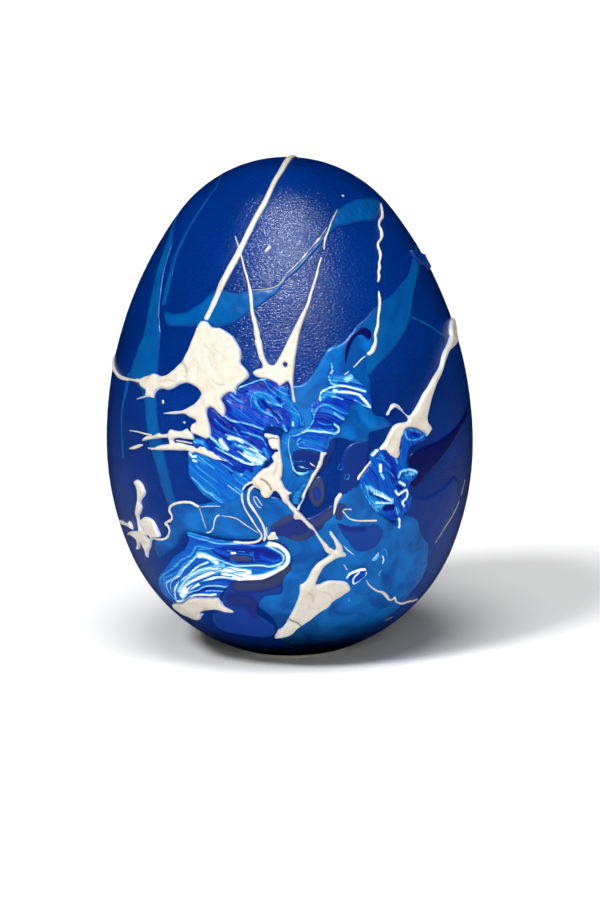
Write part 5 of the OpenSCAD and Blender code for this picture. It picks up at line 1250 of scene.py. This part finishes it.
make_piece("knifed_centre_folds",
           [film(knifed_centre, thick=0.28, rim=0.25, step=0.11, base=0.26, strokes=centre_strokes,
                 wave=0.04, grain=-14)] + folds, knifed, "impasto_centre")

# ---- Knifed right ----
# A narrow drag straight down the right, torn off at the bottom. White was caught up in it as an
# oval, two loops and a last dab at the tip.

knifed_right = [
    (9.3, 27.2), (9.6, 27.7), (10.2, 27.9), (10.9, 27.9), (11.5, 27.6), (12.2, 26.9), (12.8, 27.4),
    (12.9, 28.4), (13.2, 29.3), (13.4, 30), (14.2, 29.9), (15.2, 29.4), (15.85, 28.8), (15.85, 28.1),
    (15, 27.85), (14.15, 27.6), (13.8, 27), (13.65, 26.05), (13.9, 25.2), (14.8, 24.8), (14.95, 24.3),
    (14.5, 23.7), (13.95, 23.2), (13.85, 22.4), (14.05, 21.65), (14.1, 21), (13.8, 20), (13.1, 19.4),
    (12.8, 18.9), (12.75, 18.2), (12.6, 17.8), (12.4, 18.2), (12.25, 18.85), (11.6, 19.1), (11.2, 19.4),
    (10.3, 20.05), (9.8, 20.4), (9.3, 21.1), (8.9, 21.9), (8.6, 22.5), (8.3, 23.2), (8, 24), (8.2, 24.8),
    (8.8, 25.6), (9.3, 26.3)
]
right_strokes = [
    (0.3, 2.2, 0.05, [(13.2, 28.6), (13.3, 26.4), (12.4, 24.6)]),
    (0.14, 1.4, 0, [(11.4, 27), (11.8, 25.6), (12, 24.2)]),
    (0.24, 1.4, 0.05, [(9.2, 25.4), (9.6, 24.6)]),
    (0.3, 1.2, 0.08, [(10.6, 24.2), (11.6, 23), (12.2, 22)]),
    (0.44, 2.2, 0, [(8.8, 23.4), (9.4, 22.4), (10.2, 21)]),
    (0.6, 0.18, 0.05, [(8.1, 24), (8.4, 23.1), (8.9, 22.1), (9.5, 21.1), (10.1, 20.5)]),
    (0.6, 0.18, 0.05, [(8.7, 23.7), (9, 22.5), (9.8, 21.2)]),
    (0.7, 0.8, 0.12, [(9, 23.5), (10.3, 22.7), (11.7, 21.6)]),
    (0.88, 0.35, 0.12, [(9.6, 22.7), (10.6, 22.2), (11.6, 21.6)]),
    (0.08, 0.24, -0.1, [(9.2, 22.75), (10, 22.25), (10.9, 21.75)]),
    (0.3, 0.16, -0.06, [(9.6, 23.4), (10.6, 22.8), (11.4, 22.1)]),
    (0.8, 0.4, 0.1, [(9.8, 21.6), (10.8, 21.4), (11.8, 21.3)]),
    (0.62, 0.6, 0.06, [(9.9, 21.1), (10.7, 21)]),
    (0, 0.9, -0.08, [(10.9, 20.75), (11.8, 20.75)]),
    (0.18, 0.9, 0.1, [(11.5, 19.5), (12, 19.6)]),
    (0.52, 0.8, 0.08, [(12.2, 20.5), (12.45, 20)]),
    (0.96, 0.6, 0.2, [(10.35, 26), (10.4, 25.3)]),
    (0.7, 0.5, 0.1, [(10.5, 24.9), (10.75, 24.4)]),
    (0.62, 0.2, 0.08, [(10.1, 26.9), (11.1, 26.3), (11.6, 25.6)]),
    (0.6, 0.16, 0.06, [(10.9, 25.6), (11.6, 24.9), (12, 24.4)]),
    (0.94, 0.5, 0.16, [(9.55, 27.3), (10.1, 27.8)]),
    (0.54, 0.5, 0.08, [(10.4, 27.2), (10.9, 26.8)]),
    (0.08, 0.6, -0.05, [(11.2, 27.5), (12.1, 27)]),
    (0.1, 0.7, -0.04, [(14.3, 29.1), (15, 28.8)]),
    (0.6, 0.3, 0.1, [(13.4, 29.6), (13.5, 28.8), (14.2, 28.4), (15, 28.4), (15.6, 28.7)]),
    (0.52, 0.3, 0.08, [(13.7, 29.8), (14.6, 29.4), (15.3, 29)]),
    (0.6, 0.35, 0.06, [(12.2, 26.5), (12.4, 26)]),
    (0.74, 0.5, 0.12, [(12.5, 24.3), (12.75, 24.9), (13.4, 25), (14.1, 24.9), (14.7, 24.5)]),
    (0.62, 0.7, 0.08, [(13.4, 24.5), (14.3, 24.4)]),
    (0.46, 0.45, 0, [(13.1, 24.1), (13.9, 23.9)]),
    (0.4, 0.25, -0.05, [(13.2, 24.6), (13.6, 24.5)]),
    (0.96, 0.5, 0.16, [(12.6, 23.7), (13.2, 23.2)]),
    (0.06, 0.5, -0.06, [(12.4, 23.2), (12.9, 22.8)]),
    (0.96, 0.42, 0.18,
     [(12.1, 22.7), (12.4, 22.2), (12.8, 22.4), (13.4, 22.6), (13.5, 22), (13.25, 21.5), (12.9, 21.2),
      (13.1, 20.7)]),
    (0.1, 0.35, -0.08, [(12.6, 21.8), (12.9, 21.9)]),
    (0.48, 0.18, 0.05, [(13.8, 23), (14, 22), (13.95, 21)]),
    (0.5, 0.2, 0.04, [(13.1, 20.4), (13, 19.6)]),
    (0.96, 0.5, 0.14, [(12.45, 19.2), (12.6, 18.7), (12.6, 18.1)])
]
make_piece("knifed_right_drag",
           [film(knifed_right, thick=0.3, rim=0.25, step=0.11, base=0.28, strokes=right_strokes, wave=0.05,
                 grain=-62)], knifed, "impasto_right")

# ---- Small marbled touches ----
# At the lower right a marbled drip curls over itself beside the base pour, with flicks above it.
# All of it is the acrylic of the fan, so the drip keeps white rims round a blue middle.

curl = [(6.3, 12.2), (6.5, 12.8), (6.95, 13.15), (7.5, 13.3), (8.05, 13.4), (8.6, 13.35), (8.8, 13),
        (8.6, 12.4), (8.15, 12), (7.7, 11.65), (7.1, 11.4), (6.9, 11.8)]
curl_strokes = [
    (0.92, 0.35, 0.12, [(6.3, 12.3), (6.7, 12.9), (7.4, 13.15), (8.1, 13.3), (8.6, 13.25)]),
    (0.92, 0.35, 0.12, [(7.1, 11.6), (7.05, 12.2), (7.35, 12.65), (7.75, 13)]),
    (0.9, 0.3, 0.1, [(7.1, 11.5), (7.7, 11.75), (8.2, 12.1), (8.6, 12.5), (8.6, 12.9)])
]
wedge = [(9.3, 14.3), (9.7, 14.8), (10.2, 15.3), (10.25, 14.8), (10, 14.3), (9.7, 14.1)]
make_piece("marbled_curl_and_flicks",
           [film(curl, thick=0.25, rim=0.25, step=0.1, base=0.22, strokes=curl_strokes, wave=0.02),
            film(wedge, thick=0.2, rim=0.25, step=0.12, base=0.66, wave=0.02),
            strand([(10.4, 15.1, 0.15), (10.9, 15.5, 0.2), (11.1, 15.1, 0.25), (11.2, 14.4, 0.2)],
                   thick=0.12, tone=0.55),
            strand([(10.5, 14.8, 0.15), (10.75, 14.4, 0.25), (10.75, 14, 0.28), (10.6, 13.55, 0.2)],
                   thick=0.15, tone=0.85),
            strand([(10.6, 12.9, 0.15), (10.2, 12.4, 0.2), (10.25, 12, 0.15)], thick=0.1, tone=0.6),
            strand([(6.65, 9.8, 0.2), (6.6, 9.4, 0.4), (6.7, 9, 0.3)], thick=0.06, tone=0.56),
            strand([(6, 16.6, 0.12), (6.4, 16.1, 0.2), (7.3, 15.2, 0.12)], thick=0.12, tone=0.74)], marbled,
           "impasto_base_right")

# ---- Paint chip ----
# On the right shoulder a skin of dried navy paint has lifted and curled. It is built as a buckled film of
# the violet stains' mix, more than three times as thick as they are, lying on the ground.

chip = [(69, 49.2), (76, 48.8), (84, 47.9), (83.5, 47), (83, 46.4), (77, 47.2), (70, 48)]
make_piece("paint_chip_curled",
           [film(chip, thick=0.42, rim=0.3, step=0.12, base=0.2, wave=0.1, chart=around)], violet_paint,
           "paint_chip_right")

# ---- Far side ----
# The far side is worked more sparsely: one veil, one pool, a star-shaped white pour with its
# thread, and a single patch of knife work.

back_veil = [(112, 49), (122, 47), (138, 42), (150, 39), (166, 38.5), (180, 40), (172, 36.5), (158, 34.5),
             (142, 36), (128, 41), (116, 46)]
make_piece("veil_back_ribbon", [film(back_veil, veil_thickness, rim=0.3, step=0.35, chart=around)], glaze,
           "veil_back")
back_pool = [(148, 12), (152, 15.4), (160, 18.4), (170, 20.6), (179, 20.4), (188, 19.2), (198, 20.8),
             (208, 19.6), (217, 16.4), (226, 12), (218, 8.8), (205, 7), (190, 6.5), (174, 7.4), (158, 8.5)]
make_piece("pool_back_flat", [film(back_pool, pool_thickness, rim=0.3, step=0.4, wave=0.01, chart=around)],
           pool_paint, "pool_back")
back_pour = [
    (186, 45), (187.3, 42.6), (188.5, 40), (192, 38.6), (194, 37.5), (199, 36.2), (205, 36.5), (213, 37.6),
    (222, 38), (214, 36), (208, 34.5), (203.4, 33.4), (202, 31.5), (202.6, 29.4), (203, 27), (200.6, 28.8),
    (199, 30), (195.6, 31.8), (192, 32), (187, 31.2), (181, 31), (177.6, 30.2), (174, 28.5), (178, 31.4),
    (182, 33.5), (184.4, 35), (185, 37), (184, 39), (184.5, 41)
]
make_piece("white_pour_back_star",
           [film(back_pour, thick=0.4, rim=0.45, step=0.2, wave=0.05, chart=around,
                 pits=[(193, 34.5, 1.2, 0.07), (198, 35.5, 0.4, 0.15)]),
            strand([(200, 44, 0.2), (201, 43.4, 0.3)], thick=0.06, chart=around),
            strand([(209, 41.6, 0.2), (211, 41.4, 0.34)], thick=0.06, chart=around),
            strand([(178, 36, 0.16), (180.5, 36.4, 0.3)], thick=0.06, chart=around)], cream,
           "white_pour_back")
make_piece("white_thread_back_run",
           [strand([(118, 24, 0.3), (126, 26.5, 0.4), (136, 27.5, 0.5), (144, 25.5, 0.45), (150, 22.5, 0.35),
                    (158, 21.8, 0.35), (166, 23.5, 0.2)], chart=around)], cream,
           "white_thread_back")
back_knife = [(212, 26), (215, 28.4), (219, 30), (230, 32), (240, 30.5), (247, 26), (243, 22), (233, 21),
              (222, 22.5)]
back_strokes = [
    (0.14, 1.6, 0, [(216, 27), (228, 29.5), (240, 28)]),
    (0.9, 0.6, 0.15, [(222, 29.5), (230, 30.3), (238, 29)]),
    (0.6, 0.4, 0.1, [(217, 26), (229, 27.4), (243, 26)]),
    (0.42, 1.6, 0, [(222, 24), (232, 24), (242, 24)]),
    (0.75, 0.3, 0.1, [(224, 23.4), (233, 22.6), (241, 23)]),
    (0.95, 0.5, 0.12, [(226, 25.6), (232, 26)])
]
make_piece("knifed_back_patch",
           [film(back_knife, thick=0.4, rim=0.35, step=0.2, base=0.3, strokes=back_strokes, wave=0.08,
                 grain=8, chart=around)], knifed, "impasto_back")

# ---- Studio ----
# A pale floor that runs out of sight, under a broad overhead softbox, with others to the left,
# right and low in front, and two hard lamps that make the stipple sparkle.

floor_size = 6.0
bpy.ops.mesh.primitive_grid_add(x_subdivisions=2, y_subdivisions=2, size=floor_size)
floor = bpy.context.object
floor.name = "floor"
# Matt white studio paper, with a faint tooth
paper, tree, out = new_material("matt_studio_paper")
fibre = add(tree, "TexNoise", {"Vector": add(tree, "TexCoord", {}).outputs["Object"], "Scale": 0.9 / MM})
tooth = add(tree, "Bump", {"Height": fibre.outputs["Fac"], "Distance": 0.02 * MM})
bsdf = add(tree, "BsdfPrincipled",
           {"Base Color": linear("ffffff"), "Roughness": 0.9, "Specular IOR Level": 0.1,
            "Normal": tooth.outputs["Normal"]})
tree.links.new(bsdf.outputs["BSDF"], out.inputs["Surface"])
floor.data.materials.append(paper)


def far_softbox(name, azimuth, elevation, spread, power):
    """A large softbox far away, as a soft sun. Azimuth 0 is in front and 90 to the right."""
    lamp = bpy.data.lights.new(name, "SUN")
    lamp.angle = math.radians(spread)
    lamp.energy = power
    holder = bpy.data.objects.new(name, lamp)
    a, e = math.radians(azimuth), math.radians(elevation)
    away = Vector((math.sin(a) * math.cos(e), -math.cos(a) * math.cos(e), math.sin(e)))
    holder.rotation_euler = (-away).to_track_quat("-Z", "Y").to_euler()
    bpy.context.scene.collection.objects.link(holder)
    return holder


# The softboxes light the paint but aren't mirrored in it. The two lamps show only as glints.
far_softbox("softbox_overhead", azimuth=-4, elevation=66, spread=30, power=1.75).visible_glossy = False
far_softbox("softbox_left", azimuth=-38, elevation=45, spread=13, power=2.1).visible_glossy = False
far_softbox("softbox_right", azimuth=46, elevation=40, spread=50, power=0.2).visible_glossy = False
far_softbox("softbox_low", azimuth=6, elevation=7, spread=40, power=1.9).visible_glossy = False
for name, azimuth, elevation, spread, power in (("lamp_glint_left", -13, 63, 8, 5.0),
                                                ("lamp_glint_right", 22, 61, 10, 2.3)):
    glint = far_softbox(name, azimuth, elevation, spread, power)
    glint.visible_diffuse = False
    glint.data.color = linear("e4f4ff")[:3]

# The room itself is dark, so that the crown and the flanks stay deep blue. Mirrored in the paint,
# the floor is held back to a soft glow in the lower half of the egg.
floor.visible_glossy = False
world = bpy.data.worlds.new("dark_studio")
bpy.context.scene.world = world
world.use_nodes = True
tree = world.node_tree
sight = add(tree, "SeparateXYZ", {"Vector": add(tree, "TexCoord", {}).outputs["Generated"]})
below = add(tree, "MapRange", {"Value": sight.outputs["Z"], "From Min": -1.0, "From Max": 0.0})
depth = add(tree, "ValToRGB", {"Fac": below.outputs["Result"]})
ramp = depth.color_ramp.elements
ramp[0].position = 0.28
ramp[0].color = (0.0, 0.0, 0.0, 1.0)
ramp[1].position = 0.8
ramp[1].color = (0.0, 0.0, 0.0, 1.0)
for position, level in ((0.44, 0.8), (0.56, 1.15), (0.7, 1.0)):
    stop = ramp.new(position)
    stop.color = (level, level, level, 1.0)
beside = add(tree, "MapRange", {"Value": sight.outputs["X"], "From Min": -1.0, "From Max": 1.0})
aside = add(tree, "ValToRGB", {"Fac": beside.outputs["Result"]})
ramp = aside.color_ramp.elements
ramp[0].position = 0.25
ramp[0].color = (0.5, 0.5, 0.5, 1.0)
ramp[1].position = 0.76
ramp[1].color = (0.56, 0.56, 0.56, 1.0)
for position in (0.4, 0.64):
    ramp.new(position).color = (0.0, 0.0, 0.0, 1.0)
glow = add(tree, "Math", {0: depth.outputs["Color"], 1: aside.outputs["Color"]}, operation="MULTIPLY")
tree.nodes["Background"].inputs["Color"].default_value = linear("c4d4fa")
tree.links.new(glow.outputs["Value"], tree.nodes["Background"].inputs["Strength"])

scene = bpy.context.scene
scene.view_settings.view_transform = "Standard"

# The camera looks a little down on the egg and stands level but for a slight lean
camera_data = bpy.data.cameras.new("camera")
camera_data.lens = 198.2
camera_data.sensor_width = 36.0
camera_data.clip_end = 20
camera = bpy.data.objects.new("camera", camera_data)
scene.collection.objects.link(camera)
scene.camera = camera
camera_tilt = math.radians(10)
camera_distance = 0.6
aim_drop = math.radians(0.535)
aim_right = math.radians(0.116)
lean = 0.0197
camera.location = (0, -camera_distance * math.cos(camera_tilt),
                   camera_distance * math.sin(camera_tilt) + egg_height / 2 * MM)
camera.rotation_mode = "XYZ"
turn_down = Matrix.Rotation(math.pi / 2 - camera_tilt, 4, "X")
roll = Matrix.Rotation(-lean, 4, "Z")
aim = Matrix.Rotation(-aim_right, 4, "Y") @ Matrix.Rotation(-aim_drop, 4, "X")
camera.matrix_world = Matrix.Translation(camera.location) @ turn_down @ aim @ roll
